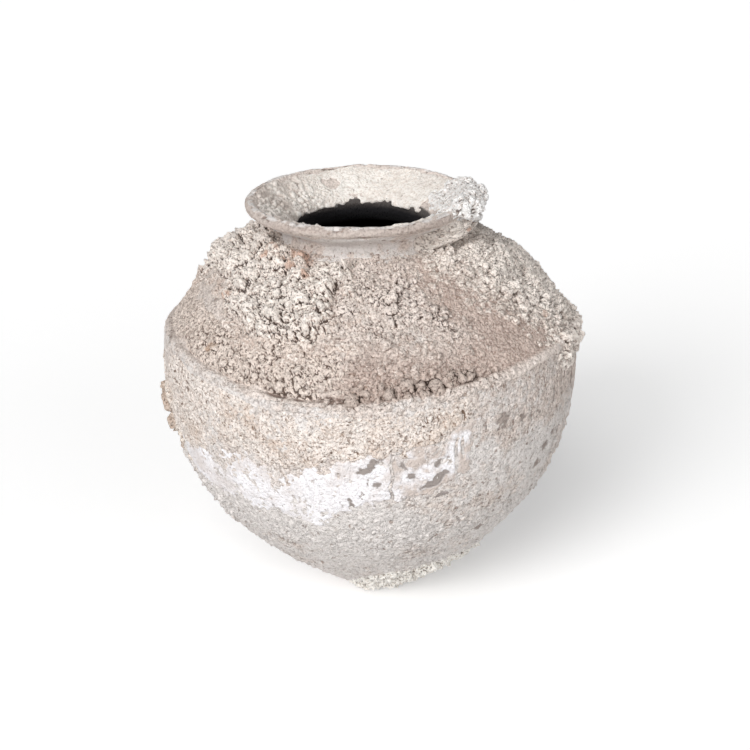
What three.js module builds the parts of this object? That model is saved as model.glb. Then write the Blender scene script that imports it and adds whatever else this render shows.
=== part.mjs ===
// An old terracotta water jar, caked with lime and mortar.
// Three fired clay sections, a beaten bowl, a shoulder and a flared neck, are luted together on bevelled seats.
// Over the clay lie the deposits that make its look: a lime lining in the mouth, a lime wash and mud skins on
// the walls, and nodular crusts on the shoulder, the ridge, the rim, the belly's left side and the foot.
// Millimetres, +Z up. The origin is the middle of the flat foot. Angles round the jar count from the front (-Y),
// positive towards the right (+X).
import * as THREE from "three";

// Bowl: heights above the ground and radii from the axis
const FOOT_RADIUS = 34;
const FOOT_EDGE = 4; // how far the rounding of the foot's edge reaches either way
const FLOOR_THICKNESS = 12;
const BOWL_WALL = 8;
const FOOT_RISE_DEG = 39.5; // slope of the wall where it leaves the foot
const FOOT_PULL = 91; // how far that slope carries into the belly
const LEDGE_RADIUS = 160; // the ridge where belly and shoulder meet
const LEDGE_HEIGHT = 229;
const LEDGE_LEAN_DEG = 7; // the belly's top leans inwards by this much
const LEDGE_PULL = 121;
const LEDGE_BEAD = 2; // radius of the raised bead along the ridge
const SCARF_DEPTH = 8; // depth of the bevelled seat under the shoulder

// Shoulder
const SHOULDER_WALL = 7.5;
const SHOULDER_RISE = 68; // from the ridge to the neck's root
const SHOULDER_FOOT_DEG = 54; // slope of the shoulder above the ridge
const SHOULDER_PULL = 25;
const SHOULDER_TOP_DEG = 13; // slope of the shoulder where it runs into the neck
const SHOULDER_TOP_PULL = 48;

// Neck and rim, from the narrowest bore outwards
const THROAT_RADIUS = 51;
const NECK_WALL = 8.5;
const NECK_HOLLOW = 8.5; // how far the neck's root stands out from the neck
const THROAT_RISE = 9; // from the neck's root to the narrowest bore
const NECK_SEAT_WIDTH = 10.5; // width of the bevel that the neck rests on
const NECK_PULL = 7; // how tightly the neck turns, below and above the throat
const FLARE_WIDTH = 27; // how far the rim stands out from the neck
const FLARE_RISE = 24; // from the narrowest bore to the top of the rim
const LIP_ROUND = 4; // the lip is a half round of this radius
const FLARE_DEG = 37; // slope of the flare where it meets the lip
const FLARE_PULL = 17;

const LUTE_GAP = 0.3; // slip layer between two clay sections

// Built by eye: the neck sits off the foot's axis, and the ridge rises and falls round the jar
const NECK_SHIFT = -5; // towards the left
const RIDGE_WAVER = 4.8;
const RIDGE_WAVES = 3;
const RIDGE_LOW_DEG = -11; // where the ridge dips at the front
const RIDGE_REACH = 45; // how far above and below the ridge the waver is felt

// Thicknesses of the deposits, without their lumps
const BED_GAP = 0.5; // underside of a deposit to the clay that it lies on
const FEATHER = 0.9; // thickness at a deposit's edge
const LINING_THICKNESS = 1.2;
const WASH_THICKNESS = 1.3;
const MUD_THICKNESS = 1.8;
const LEFT_CRUST_THICKNESS = 4.5;
const MIDDLE_CRUST_THICKNESS = 3;
const RIGHT_CRUST_THICKNESS = 4;
const LEDGE_CRUST_THICKNESS = 7;
const GRIT_THICKNESS = 1.5;
const BELLY_CRUST_THICKNESS = 3.5;
const FOOT_CRUST_THICKNESS = 2.5;
const RIM_LUMP_THICKNESS = 12;
const RIM_LUMP_INSIDE = 3; // its thickness where it runs out in the mouth
const NECK_FILL_BULGE = 13;
const MOUND_PITCH = 28; // the shoulder's crusts are heaped in mounds, about this far apart
const MOUND_HEIGHT = 7; // rise of a mound as wide as the pitch

// How far the deposits reach over the clay
const LEDGE_CLEAR = 3; // strip left bare on either side of the ridge
const NECK_CLEAR = 5; // strip left bare under the neck's root
const MUD_BAND = 33; // height of the mud skin above the ridge, and of the one below it
const SEAM = 3; // bare seam between two deposits on the same wall
const WASH_BAND = 68; // height of the lime wash
const GRIT_BAND = 13;
const LEDGE_CRUST_BAND = 13; // how far the crust that overhangs the ridge hangs down the belly
const BELLY_CRUST_TOP = 40; // distances below the ridge
const BELLY_CRUST_FOOT = 98;
const FOOT_CLEAR = 7; // bare wall between the foot's corner and the crust above it
const FOOT_CRUST_BAND = 80;
const FOOT_CRUST_LEAN_DEG = -22; // it climbs towards the right
const LINING_CLEAR = 2; // bare clay between the lip and the lining
const LINING_DEPTH = 30; // how far the lining reaches down the funnel
const LINING_RAGGED = 3; // depth of the drips along its lower edge
const RIM_LUMP_UNDER = 14; // how far the lump reaches down the flare's outside, and down the funnel
const RIM_LUMP_MOUTH = 24;
const RIM_LUMP_DEG = 90; // the lump's middle, round the jar
const RIM_LUMP_SPAN_DEG = 56;
const RIM_LUMP_LEAN_DEG = 6; // inside the mouth it reaches further to the front
const NECK_FILL_FROM_DEG = 46; // front end of the neck's mortar, at the neck's root

const CLAY_SEGMENTS = 48;
const CLAY_COLOUR = 0x9c8b80;
const LIME_COLOUR = 0xdcd6cf;
const MUD_COLOUR = 0xb7a797;
const CRUST_COLOUR = 0xc6bbac;

const { degToRad, clamp, lerp, smoothstep } = THREE.MathUtils;
const point = (radius, height) => new THREE.Vector2(radius, height);

// The point at a distance and a slope from another, in the plane of the section.
function along(from, degrees, distance) {
  return point(from.x + distance * Math.cos(degToRad(degrees)), from.y + distance * Math.sin(degToRad(degrees)));
}

// A curve from a to b that leaves a and reaches b on given slopes.
function sweep(a, leaveDeg, leavePull, b, reachDeg, reachPull) {
  return new THREE.CubicBezierCurve(a, along(a, leaveDeg, leavePull), along(b, reachDeg, -reachPull), b);
}

// The unit normal on the right-hand side of a curve's direction: outwards on a wall that is drawn upwards.
function normalAt(curve, share) {
  const tangent = curve.getTangentAt(share);
  return point(tangent.y, -tangent.x);
}

// Evenly spaced points along a curve, moved sideways by an offset, from a share of its length onwards.
function trace(curve, steps, offset = 0, start = 0) {
  const points = [];
  for (let i = 0; i <= steps; i++) {
    const share = Math.min(lerp(start, 1, i / steps), 1);
    points.push(curve.getPointAt(share).addScaledVector(normalAt(curve, share), offset));
  }
  return points;
}

// Points of an arc of the section, by the angle about its centre.
function arc(centre, radius, fromDeg, toDeg, steps) {
  const points = [];
  for (let i = 0; i <= steps; i++) {
    points.push(along(centre, lerp(fromDeg, toDeg, i / steps), radius));
  }
  return points;
}

// The radius of a traced wall at a height.
function radiusAtHeight(points, height) {
  const next = points.findIndex((p) => p.y >= height);
  const a = points[next - 1];
  const b = points[next];
  return lerp(a.x, b.x, (height - a.y) / (b.y - a.y));
}

// Lines of the clay, drawn as radius and height

const foot = point(FOOT_RADIUS, 0);
const ledge = point(LEDGE_RADIUS, LEDGE_HEIGHT);
const bellyCurve = sweep(foot, FOOT_RISE_DEG, FOOT_PULL, ledge, 90 + LEDGE_LEAN_DEG, LEDGE_PULL);
const bellyRun = bellyCurve.getLength();
const footEdge = new THREE.QuadraticBezierCurve(
  point(FOOT_RADIUS - FOOT_EDGE, 0), foot, bellyCurve.getPointAt(FOOT_EDGE / bellyRun),
);
const bowlInside = trace(bellyCurve, 10, -BOWL_WALL);
const scarfHeight = LEDGE_HEIGHT - SCARF_DEPTH;
const scarfInner = point(radiusAtHeight(bowlInside, scarfHeight), scarfHeight);
const bead = point(LEDGE_RADIUS - LEDGE_BEAD, LEDGE_HEIGHT);
const BEAD_END_DEG = 150;
const scarfOuter = along(bead, BEAD_END_DEG, LEDGE_BEAD);

// The shoulder's foot lies on the bowl's bevel, a slip layer away.
const scarf = scarfOuter.clone().sub(scarfInner).normalize();
const scarfLift = point(-scarf.y, scarf.x).multiplyScalar(LUTE_GAP);
const shoulderFoot = scarfOuter.clone().add(scarfLift);
const shoulderFootInner = scarfInner.clone().add(scarfLift);

// The neck's root lies on the shoulder's bevel in the same way.
const neckOutside = THROAT_RADIUS + NECK_WALL;
const neckRoot = point(neckOutside + NECK_HOLLOW, LEDGE_HEIGHT + SHOULDER_RISE);
const neckRootInner = along(neckRoot, -135, NECK_SEAT_WIDTH);
const shoulderTop = along(neckRoot, -45, LUTE_GAP);
const shoulderTopInner = along(neckRootInner, -45, LUTE_GAP);
const shoulderCurve = sweep(
  shoulderFoot, 180 - SHOULDER_FOOT_DEG, SHOULDER_PULL,
  shoulderTop, 180 - SHOULDER_TOP_DEG, SHOULDER_TOP_PULL,
);
const shoulderRun = shoulderCurve.getLength();

const throat = point(THROAT_RADIUS, neckRoot.y + THROAT_RISE);
const throatOuter = point(neckOutside, throat.y);
const lip = point(neckOutside + FLARE_WIDTH - LIP_ROUND, throat.y + FLARE_RISE - LIP_ROUND);
const lipInner = along(lip, FLARE_DEG + 90, LIP_ROUND);
const lipUnder = along(lip, FLARE_DEG - 90, LIP_ROUND);
const neckFillet = sweep(neckRoot, 180 - SHOULDER_TOP_DEG, NECK_PULL, throatOuter, 90, NECK_PULL / 2);
const flareOutside = sweep(throatOuter, 90, NECK_PULL, lipUnder, FLARE_DEG, FLARE_PULL);
const funnel = sweep(lipInner, FLARE_DEG + 180, FLARE_PULL, throat, -90, NECK_PULL);
const throatUnder = sweep(throat, -90, NECK_PULL, neckRootInner, -30, NECK_PULL);

// Turns a closed section about the jar's axis. Angle 0 faces the front.
function revolve(section) {
  return new THREE.LatheGeometry(section, CLAY_SEGMENTS).rotateX(Math.PI / 2);
}

function makeLowerBowl() {
  const inside = bowlInside.filter((p) => p.y > FLOOR_THICKNESS && p.y < scarfHeight);
  const floorEdge = point(radiusAtHeight(bowlInside, FLOOR_THICKNESS), FLOOR_THICKNESS);
  return revolve([
    point(0, 0),
    ...trace(footEdge, 2),
    ...trace(bellyCurve, 10, 0, FOOT_EDGE / bellyRun).slice(1),
    ...arc(bead, LEDGE_BEAD, 0, BEAD_END_DEG, 3).slice(1),
    scarfInner,
    ...inside.reverse(),
    floorEdge,
    point(0, FLOOR_THICKNESS),
  ]);
}

function makeShoulder() {
  const inside = trace(shoulderCurve, 4, -SHOULDER_WALL);
  const clearOfSeats = inside.filter((p) => p.x > shoulderTopInner.x && p.x < shoulderFootInner.x);
  return revolve([
    ...trace(shoulderCurve, 7),
    shoulderTopInner,
    ...clearOfSeats.reverse(),
    shoulderFootInner,
    shoulderFoot,
  ]);
}

function makeNeckAndRim() {
  return revolve([
    ...trace(neckFillet, 4),
    ...trace(flareOutside, 8).slice(1),
    ...arc(lip, LIP_ROUND, FLARE_DEG - 90, FLARE_DEG + 90, 5).slice(1),
    ...trace(funnel, 4).slice(1),
    ...trace(throatUnder, 2).slice(1),
    neckRoot,
  ]);
}

// A repeatable number from 0 to 1 for each cell of a grid.
function scatter(column, row, salt) {
  const wave = Math.sin(column * 127.1 + row * 311.7 + salt * 74.7) * 43758.5453;
  return wave - Math.floor(wave);
}

// Rounded lumps on a jittered grid: the share of a lump's height at a place given in millimetres.
function lumps(x, y, pitch, salt) {
  let best = 0;
  for (let i = -1; i <= 1; i++) {
    for (let j = -1; j <= 1; j++) {
      const column = Math.floor(x / pitch) + i;
      const row = Math.floor(y / pitch) + j;
      const dx = x / pitch - column - 0.2 - 0.6 * scatter(column, row, salt);
      const dy = y / pitch - row - 0.2 - 0.6 * scatter(column, row, salt + 1);
      const size = 0.45 + 0.35 * scatter(column, row, salt + 2);
      best = Math.max(best, size * Math.sqrt(Math.max(0, 1 - (dx * dx + dy * dy) / (size * size))));
    }
  }
  return best;
}

// A closed sheet between an under and an over surface, both functions of two shares from 0 to 1.
function sheet(columns, rows, under, over) {
  const corner = (i, j, top) => (i * (rows + 1) + j) * 2 + top;
  const positions = [];
  for (let i = 0; i <= columns; i++) {
    for (let j = 0; j <= rows; j++) {
      positions.push(...under(i / columns, j / rows), ...over(i / columns, j / rows));
    }
  }
  const faces = [];
  const quad = (a, b, c, d) => faces.push(a, b, c, a, c, d);
  for (let i = 0; i < columns; i++) {
    for (let j = 0; j < rows; j++) {
      quad(corner(i, j, 1), corner(i + 1, j, 1), corner(i + 1, j + 1, 1), corner(i, j + 1, 1));
      quad(corner(i, j, 0), corner(i, j + 1, 0), corner(i + 1, j + 1, 0), corner(i + 1, j, 0));
    }
    quad(corner(i, 0, 0), corner(i + 1, 0, 0), corner(i + 1, 0, 1), corner(i, 0, 1));
    quad(corner(i, rows, 1), corner(i + 1, rows, 1), corner(i + 1, rows, 0), corner(i, rows, 0));
  }
  for (let j = 0; j < rows; j++) {
    quad(corner(0, j, 1), corner(0, j + 1, 1), corner(0, j + 1, 0), corner(0, j, 0));
    quad(corner(columns, j, 0), corner(columns, j + 1, 0), corner(columns, j + 1, 1), corner(columns, j, 1));
  }
  const geometry = new THREE.BufferGeometry();
  geometry.setAttribute("position", new THREE.Float32BufferAttribute(positions, 3));
  geometry.setIndex(faces);
  return geometry;
}

// A point of the section, carried round to an angle.
function carry(sectionPoint, degrees) {
  const angle = degToRad(degrees);
  return new THREE.Vector3(sectionPoint.x * Math.sin(angle), -sectionPoint.x * Math.cos(angle), sectionPoint.y);
}

// A place on a bed curve, in degrees round the jar and millimetres along the bed, lifted off it.
function onBed(bed, degrees, distance, lift) {
  const share = clamp(distance / bed.getLength(), 0, 1);
  return carry(bed.getPointAt(share).addScaledVector(normalAt(bed, share), lift), degrees);
}

// A deposit on a bed curve: a rounded patch with a wavering outline, thin at its edge and lumpy within.
// Its middle and span go round the jar in degrees, low and high along the bed, and leanDeg slants its sides.
// The thickness is a function of the share from low to high, and edge the share of it that ramps up.
function crustPatch(patch) {
  const ROUNDING = 0.25; // 0 keeps the patch square, 1 makes it an oval
  const WAVER = 0.035;
  const { bed, middleDeg, spanDeg, low, high, leanDeg = 0, edge = 0.35, salt } = patch;
  const place = (u, v) => {
    const x = 2 * u - 1;
    const y = 2 * v - 1;
    const roundX = x * Math.sqrt(1 - ROUNDING * y * y);
    const roundY = y * Math.sqrt(1 - ROUNDING * x * x);
    const bearing = Math.atan2(y, x);
    const waver = 1 - WAVER * (1.5 + Math.sin(5 * bearing + salt) + 0.5 * Math.sin(9 * bearing + 2 * salt));
    return {
      degrees: middleDeg + (spanDeg / 2) * roundX * waver - leanDeg * roundY,
      distance: (low + high) / 2 + ((high - low) / 2) * roundY * waver,
      inset: 1 - Math.max(Math.abs(x), Math.abs(y)),
    };
  };
  const under = (u, v) => {
    const { degrees, distance } = place(u, v);
    return onBed(bed, degrees, distance, BED_GAP);
  };
  const over = (u, v) => {
    const { degrees, distance, inset } = place(u, v);
    const girth = degToRad(degrees) * bed.getPointAt(clamp(distance / bed.getLength(), 0, 1)).x;
    const lump = patch.lumpHeight * lumps(girth, distance, patch.lumpPitch, salt);
    const rise = smoothstep(inset, 0, edge) * (patch.thickness(v) - FEATHER + lump);
    return onBed(bed, degrees, distance, BED_GAP + FEATHER + rise);
  };
  return sheet(patch.columns, patch.rows, under, over);
}

// Heavy nodular crust on the left of the shoulder, from the neck down to the mud skin.
function makeLeftCrust() {
  return crustPatch({
    bed: shoulderCurve, middleDeg: -84, spanDeg: 154,
    low: LEDGE_CLEAR + MUD_BAND + SEAM, high: shoulderRun - NECK_CLEAR,
    thickness: () => LEFT_CRUST_THICKNESS, lumpHeight: MOUND_HEIGHT, lumpPitch: MOUND_PITCH, salt: 3,
    columns: 32, rows: 9,
  });
}

// Thinner knobbly crust down the middle of the front.
function makeMiddleCrust() {
  return crustPatch({
    bed: shoulderCurve, middleDeg: 13, spanDeg: 44,
    low: LEDGE_CLEAR + MUD_BAND + SEAM, high: shoulderRun - NECK_CLEAR, leanDeg: 6,
    thickness: () => MIDDLE_CRUST_THICKNESS, lumpHeight: 3, lumpPitch: 11, salt: 5, columns: 12, rows: 9,
  });
}

// Granular crust over the right of the shoulder. Its front edge slants away from the neck.
function makeRightCrust() {
  return crustPatch({
    bed: shoulderCurve, middleDeg: 104, spanDeg: 112,
    low: LEDGE_CLEAR, high: shoulderRun - NECK_CLEAR, leanDeg: 18,
    thickness: () => RIGHT_CRUST_THICKNESS, lumpHeight: MOUND_HEIGHT, lumpPitch: MOUND_PITCH, salt: 8,
    columns: 28, rows: 11,
  });
}

// Streaky mud skin on the lower left of the shoulder.
function makeShoulderMud() {
  return crustPatch({
    bed: shoulderCurve, middleDeg: -64, spanDeg: 118, low: LEDGE_CLEAR, high: LEDGE_CLEAR + MUD_BAND,
    thickness: () => MUD_THICKNESS, lumpHeight: 0.8, lumpPitch: 12, salt: 2, columns: 24, rows: 5,
  });
}

// Row of nodules that lodged on the ridge at the front.
function makeLedgeGrit() {
  return crustPatch({
    bed: shoulderCurve, middleDeg: 11, spanDeg: 36, low: LEDGE_CLEAR, high: LEDGE_CLEAR + GRIT_BAND,
    thickness: () => GRIT_THICKNESS, lumpHeight: 4, lumpPitch: 8, salt: 7, columns: 18, rows: 5,
  });
}

// The right crust's overhang, caked under the ridge.
function makeLedgeCrust() {
  return crustPatch({
    bed: bellyCurve, middleDeg: 80, spanDeg: 40, low: bellyRun - LEDGE_CRUST_BAND, high: bellyRun,
    thickness: () => LEDGE_CRUST_THICKNESS, lumpHeight: 3, lumpPitch: 12, salt: 4, columns: 14, rows: 5,
  });
}

// Beige mud skin under the ridge.
function makeBellyMud() {
  return crustPatch({
    bed: bellyCurve, middleDeg: -32, spanDeg: 94,
    low: bellyRun - LEDGE_CLEAR - MUD_BAND, high: bellyRun - LEDGE_CLEAR,
    thickness: () => MUD_THICKNESS, lumpHeight: 0.6, lumpPitch: 12, salt: 6, columns: 22, rows: 4,
  });
}

// White lime wash on the front of the belly, below the mud skin.
function makeLimeWash() {
  const top = bellyRun - LEDGE_CLEAR - MUD_BAND - SEAM;
  return crustPatch({
    bed: bellyCurve, middleDeg: -18, spanDeg: 86, low: top - WASH_BAND, high: top,
    thickness: () => WASH_THICKNESS, lumpHeight: 0.3, lumpPitch: 20, salt: 9, columns: 16, rows: 6,
  });
}

// Lumps on the left side of the belly.
function makeBellyCrust() {
  return crustPatch({
    bed: bellyCurve, middleDeg: -92, spanDeg: 60, low: bellyRun - BELLY_CRUST_FOOT, high: bellyRun - BELLY_CRUST_TOP,
    thickness: () => BELLY_CRUST_THICKNESS, lumpHeight: 6, lumpPitch: 15, salt: 12, columns: 16, rows: 7,
  });
}

// Nodular crust round the right front of the foot.
function makeFootCrust() {
  return crustPatch({
    bed: bellyCurve, middleDeg: 50, spanDeg: 96, low: FOOT_CLEAR, high: FOOT_CLEAR + FOOT_CRUST_BAND,
    leanDeg: FOOT_CRUST_LEAN_DEG,
    thickness: () => FOOT_CRUST_THICKNESS, lumpHeight: 4, lumpPitch: 14, salt: 11, columns: 14, rows: 9,
  });
}

// The mortar lump is wrapped over the lip: up the flare's outside, round the half round and down the funnel.
const rimBed = new THREE.CurvePath();
rimBed.add(flareOutside);
rimBed.add(new THREE.EllipseCurve(
  lip.x, lip.y, LIP_ROUND, LIP_ROUND, degToRad(FLARE_DEG - 90), degToRad(FLARE_DEG + 90),
));
rimBed.add(funnel);
const flareRun = flareOutside.getLength();
const overLip = flareRun + Math.PI * LIP_ROUND;

function makeRimLump() {
  return crustPatch({
    bed: rimBed, middleDeg: RIM_LUMP_DEG, spanDeg: RIM_LUMP_SPAN_DEG,
    low: flareRun - RIM_LUMP_UNDER, high: overLip + RIM_LUMP_MOUTH, leanDeg: RIM_LUMP_LEAN_DEG,
    thickness: (v) => lerp(RIM_LUMP_THICKNESS, RIM_LUMP_INSIDE, smoothstep(v, 0.3, 0.65)),
    edge: 0.6, lumpHeight: 2.5, lumpPitch: 11, salt: 1, columns: 12, rows: 14,
  });
}

// Mortar that fills the neck's hollow under the lump, out past the line from the neck's root to the flare.
function makeNeckFill() {
  const hollow = new THREE.CurvePath();
  hollow.add(neckFillet);
  hollow.add(flareOutside);
  const from = LUTE_GAP + BED_GAP;
  const to = hollow.getLength() - RIM_LUMP_UNDER - SEAM / 2;
  const END_RAMP = 0.3;
  const run = hollow.getLength();
  const skin = (v, lift) => {
    const share = lerp(from, to, v) / run;
    return hollow.getPointAt(share).addScaledVector(normalAt(hollow, share), lift);
  };
  const lumpFront = RIM_LUMP_DEG - RIM_LUMP_SPAN_DEG / 2;
  const lumpBack = RIM_LUMP_DEG + RIM_LUMP_SPAN_DEG / 2;
  const degrees = (u, v) => lerp(lerp(NECK_FILL_FROM_DEG, lumpFront, v), lumpBack, u);
  const over = (u, v) => {
    const chord = skin(0, BED_GAP + FEATHER).lerp(skin(1, BED_GAP + FEATHER), v);
    chord.x += NECK_FILL_BULGE * Math.sin(Math.PI * v);
    const ramp = smoothstep(Math.min(u, 1 - u), 0, END_RAMP);
    return carry(skin(v, BED_GAP + FEATHER).lerp(chord, ramp), degrees(u, v));
  };
  return sheet(12, 9, (u, v) => carry(skin(v, BED_GAP), degrees(u, v)), over);
}

// Lime skin inside the funnel. It stops short of the lump and drips towards the throat.
function makeMouthLining() {
  const SPARE_DEG = 3; // clay left bare beside the lump
  const from = RIM_LUMP_DEG + RIM_LUMP_SPAN_DEG / 2 + SPARE_DEG;
  const to = RIM_LUMP_DEG - RIM_LUMP_SPAN_DEG / 2 - RIM_LUMP_LEAN_DEG - SPARE_DEG + 360;
  const place = (u, v, lift) => {
    const degrees = lerp(from, to, u);
    const drip = LINING_RAGGED * (0.6 * Math.sin(degToRad(7 * degrees)) + 0.4 * Math.sin(degToRad(17 * degrees)));
    return onBed(funnel, degrees, lerp(LINING_CLEAR, LINING_DEPTH - LINING_RAGGED + drip, v), lift);
  };
  return sheet(
    40, 3,
    (u, v) => place(u, v, BED_GAP),
    (u, v) => place(u, v, BED_GAP + LINING_THICKNESS),
  );
}

// Moves every point of a piece as the hand-built jar stands: the lean of the neck and the waver of the ridge.
function settle(geometry) {
  const position = geometry.getAttribute("position");
  for (let i = 0; i < position.count; i++) {
    const [x, y, z] = [position.getX(i), position.getY(i), position.getZ(i)];
    const lean = NECK_SHIFT * smoothstep(z, LEDGE_HEIGHT, neckRoot.y);
    const felt = Math.exp(-(((z - LEDGE_HEIGHT) / RIDGE_REACH) ** 2));
    const wave = Math.cos(RIDGE_WAVES * (Math.atan2(x, -y) - degToRad(RIDGE_LOW_DEG)));
    position.setXYZ(i, x + lean, y, z - RIDGE_WAVER * felt * wave);
  }
  return geometry;
}

const jar = new THREE.Group();

function add(name, geometry, colour, roughness) {
  const material = new THREE.MeshStandardMaterial({ color: colour, roughness, metalness: 0 });
  const mesh = new THREE.Mesh(settle(geometry), material);
  mesh.name = name;
  jar.add(mesh);
}

add("lower_bowl", makeLowerBowl(), CLAY_COLOUR, 0.9);
add("shoulder_dome", makeShoulder(), CLAY_COLOUR, 0.9);
add("neck_and_rim", makeNeckAndRim(), CLAY_COLOUR, 0.85);
add("mouth_lime_lining", makeMouthLining(), LIME_COLOUR, 0.95);
add("shoulder_crust_left", makeLeftCrust(), CRUST_COLOUR, 1);
add("shoulder_crust_middle", makeMiddleCrust(), CRUST_COLOUR, 1);
add("shoulder_crust_right", makeRightCrust(), CRUST_COLOUR, 1);
add("shoulder_mud_skin", makeShoulderMud(), MUD_COLOUR, 1);
add("ledge_grit", makeLedgeGrit(), CRUST_COLOUR, 1);
add("ledge_crust_right", makeLedgeCrust(), CRUST_COLOUR, 1);
add("rim_mortar_lump", makeRimLump(), LIME_COLOUR, 1);
add("neck_mortar_fill", makeNeckFill(), CRUST_COLOUR, 1);
add("belly_mud_skin", makeBellyMud(), MUD_COLOUR, 1);
add("belly_lime_wash", makeLimeWash(), LIME_COLOUR, 0.95);
add("belly_crust_left", makeBellyCrust(), CRUST_COLOUR, 1);
add("foot_crust", makeFootCrust(), CRUST_COLOUR, 1);

export default jar;
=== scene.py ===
from collections import namedtuple

import bpy
import numpy as np
from mathutils import Matrix, Vector


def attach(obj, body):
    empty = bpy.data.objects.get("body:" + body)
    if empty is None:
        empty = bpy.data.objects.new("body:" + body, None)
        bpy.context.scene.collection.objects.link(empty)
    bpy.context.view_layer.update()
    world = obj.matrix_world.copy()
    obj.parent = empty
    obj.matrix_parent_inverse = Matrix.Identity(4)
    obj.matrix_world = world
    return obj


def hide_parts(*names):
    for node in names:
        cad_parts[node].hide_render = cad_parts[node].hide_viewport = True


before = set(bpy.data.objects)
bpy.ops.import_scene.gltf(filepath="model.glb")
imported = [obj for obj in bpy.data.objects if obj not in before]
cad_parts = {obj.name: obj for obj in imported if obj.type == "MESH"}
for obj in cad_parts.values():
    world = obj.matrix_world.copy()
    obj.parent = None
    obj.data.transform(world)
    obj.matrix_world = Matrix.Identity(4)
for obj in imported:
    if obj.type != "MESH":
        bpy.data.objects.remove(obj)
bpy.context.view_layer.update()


# Lower bowl
# The beaten clay bowl that the jar stands on: a small flat foot, a bulging belly and a soft bead along its top
# edge. Fired terracotta, worn grey-brown, with a gritty scale on it from years of standing in wet ground.
FOOT_RADIUS = 34
FOOT_EDGE = 4
FLOOR_THICKNESS = 12
BOWL_WALL = 8
LEDGE_RADIUS = 160
LEDGE_HEIGHT = 229
LEDGE_BEAD = 2
SCARF_DEPTH = 8
SHOULDER_RISE = 68
NECK_SHIFT = -5
RIDGE_WAVER = 4.8
RIDGE_LOW = np.radians(-11)
RIDGE_REACH = 45


def wall_line(a, leave_deg, leave_pull, b, reach_deg, reach_pull):
    """Radius and height along a wall: the cubic from a to b whose ends follow the given slopes for the pulls."""
    leave, reach = np.radians(leave_deg), np.radians(reach_deg)
    a, b = np.array(a, float), np.array(b, float)
    first = a + leave_pull * np.array([np.cos(leave), np.sin(leave)])
    second = b - reach_pull * np.array([np.cos(reach), np.sin(reach)])
    t = np.linspace(0, 1, 400)[:, None]
    return (1 - t) ** 3 * a + 3 * t * (1 - t) ** 2 * first + 3 * t**2 * (1 - t) * second + t**3 * b


def arc_line(centre, radius, from_deg, to_deg):
    """Radius and height along an arc: the centre plus the radius turned from one angle to the other."""
    turn = np.radians(np.linspace(from_deg, to_deg, 60))
    return np.array(centre) + radius * np.stack([np.cos(turn), np.sin(turn)], 1)


Bed = namedtuple("Bed", "run line normal")


def bed_on(*lines):
    """Lines joined end to end, with the length run up to each point and the normal on the right of the way."""
    line = np.concatenate(lines)
    steps = np.hypot(*np.diff(line, axis=0).T)
    keep = np.concatenate([[True], steps > 1e-6])
    line = line[keep]
    run = np.concatenate([[0], np.cumsum(np.hypot(*np.diff(line, axis=0).T))])
    way = np.gradient(line, run, axis=0)
    normal = np.stack([way[:, 1], -way[:, 0]], 1)
    return Bed(run, line, normal / np.linalg.norm(normal, axis=1, keepdims=True))


def off_bed(bed, run, lift):
    """Radius and height of the places at a run along a bed, moved off it along the normal by the lift."""
    radius = np.interp(run, bed.run, bed.line[:, 0]) + lift * np.interp(run, bed.run, bed.normal[:, 0])
    height = np.interp(run, bed.run, bed.line[:, 1]) + lift * np.interp(run, bed.run, bed.normal[:, 1])
    return radius, height


def eased(value, low, high):
    """0 below low, 1 above high, and the cubic 3s²-2s³ of the share s between them."""
    share = np.clip((value - low) / (high - low), 0, 1)
    return share * share * (3 - 2 * share)


def settled(radius, height, angle):
    """Points of the jar from radius, height and angle (0 in front, growing to the right), as it was built by eye:
    the neck's height is carried to the left, and the ridge's height dips and rises three times round the jar."""
    lean = NECK_SHIFT * eased(height, LEDGE_HEIGHT, LEDGE_HEIGHT + SHOULDER_RISE)
    felt = np.exp(-(((height - LEDGE_HEIGHT) / RIDGE_REACH) ** 2))
    dip = RIDGE_WAVER * felt * np.cos(3 * (angle - RIDGE_LOW))
    return np.stack([radius * np.sin(angle) + lean, -radius * np.cos(angle), height - dip], -1)


def hashed(cell, salt):
    """A repeatable number from 0 to 1 for a cell of a lattice: its whole-number corners mixed bit by bit."""
    mixed = (cell[..., 0] * 73856093) ^ (cell[..., 1] * 19349663) ^ (cell[..., 2] * 83492791) ^ (salt * 2654435761)
    mixed &= 0xFFFFFFFF
    mixed = ((mixed ^ (mixed >> 13)) * 1274126177) & 0xFFFFFFFF
    return ((mixed ^ (mixed >> 16)) & 0xFFFFFF) / 0xFFFFFF


def rough(points, size, octaves, salt):
    """Cloudy unevenness, about -1 to 1: hashed values on a lattice of the given size, blended smoothly between the
    eight corners of each cell, and summed over octaves that are each half as wide and half as strong."""
    total = np.zeros(points.shape[:-1])
    for octave in range(octaves):
        place = points * (2**octave / size) + 31.7 * octave
        cell = np.floor(place).astype(np.int64)
        ease = place - cell
        ease = ease * ease * (3 - 2 * ease)
        for corner in np.ndindex(2, 2, 2):
            weight = np.prod(np.where(corner, ease, 1 - ease), axis=-1)
            total += 0.5**octave * weight * (2 * hashed(cell + np.array(corner), salt + octave) - 1)
    return total


def blurred(values, reach, axis):
    """The mean of each value and its neighbours within the reach along one axis, by differences of a running
    sum."""
    moved = np.moveaxis(values, axis, 0)
    padded = np.concatenate([moved[:1]] * (reach + 1) + [moved] + [moved[-1:]] * reach)
    sums = np.cumsum(padded, axis=0)
    return np.moveaxis((sums[2 * reach + 1:] - sums[:-2 * reach - 1]) / (2 * reach + 1), 0, axis)


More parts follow.
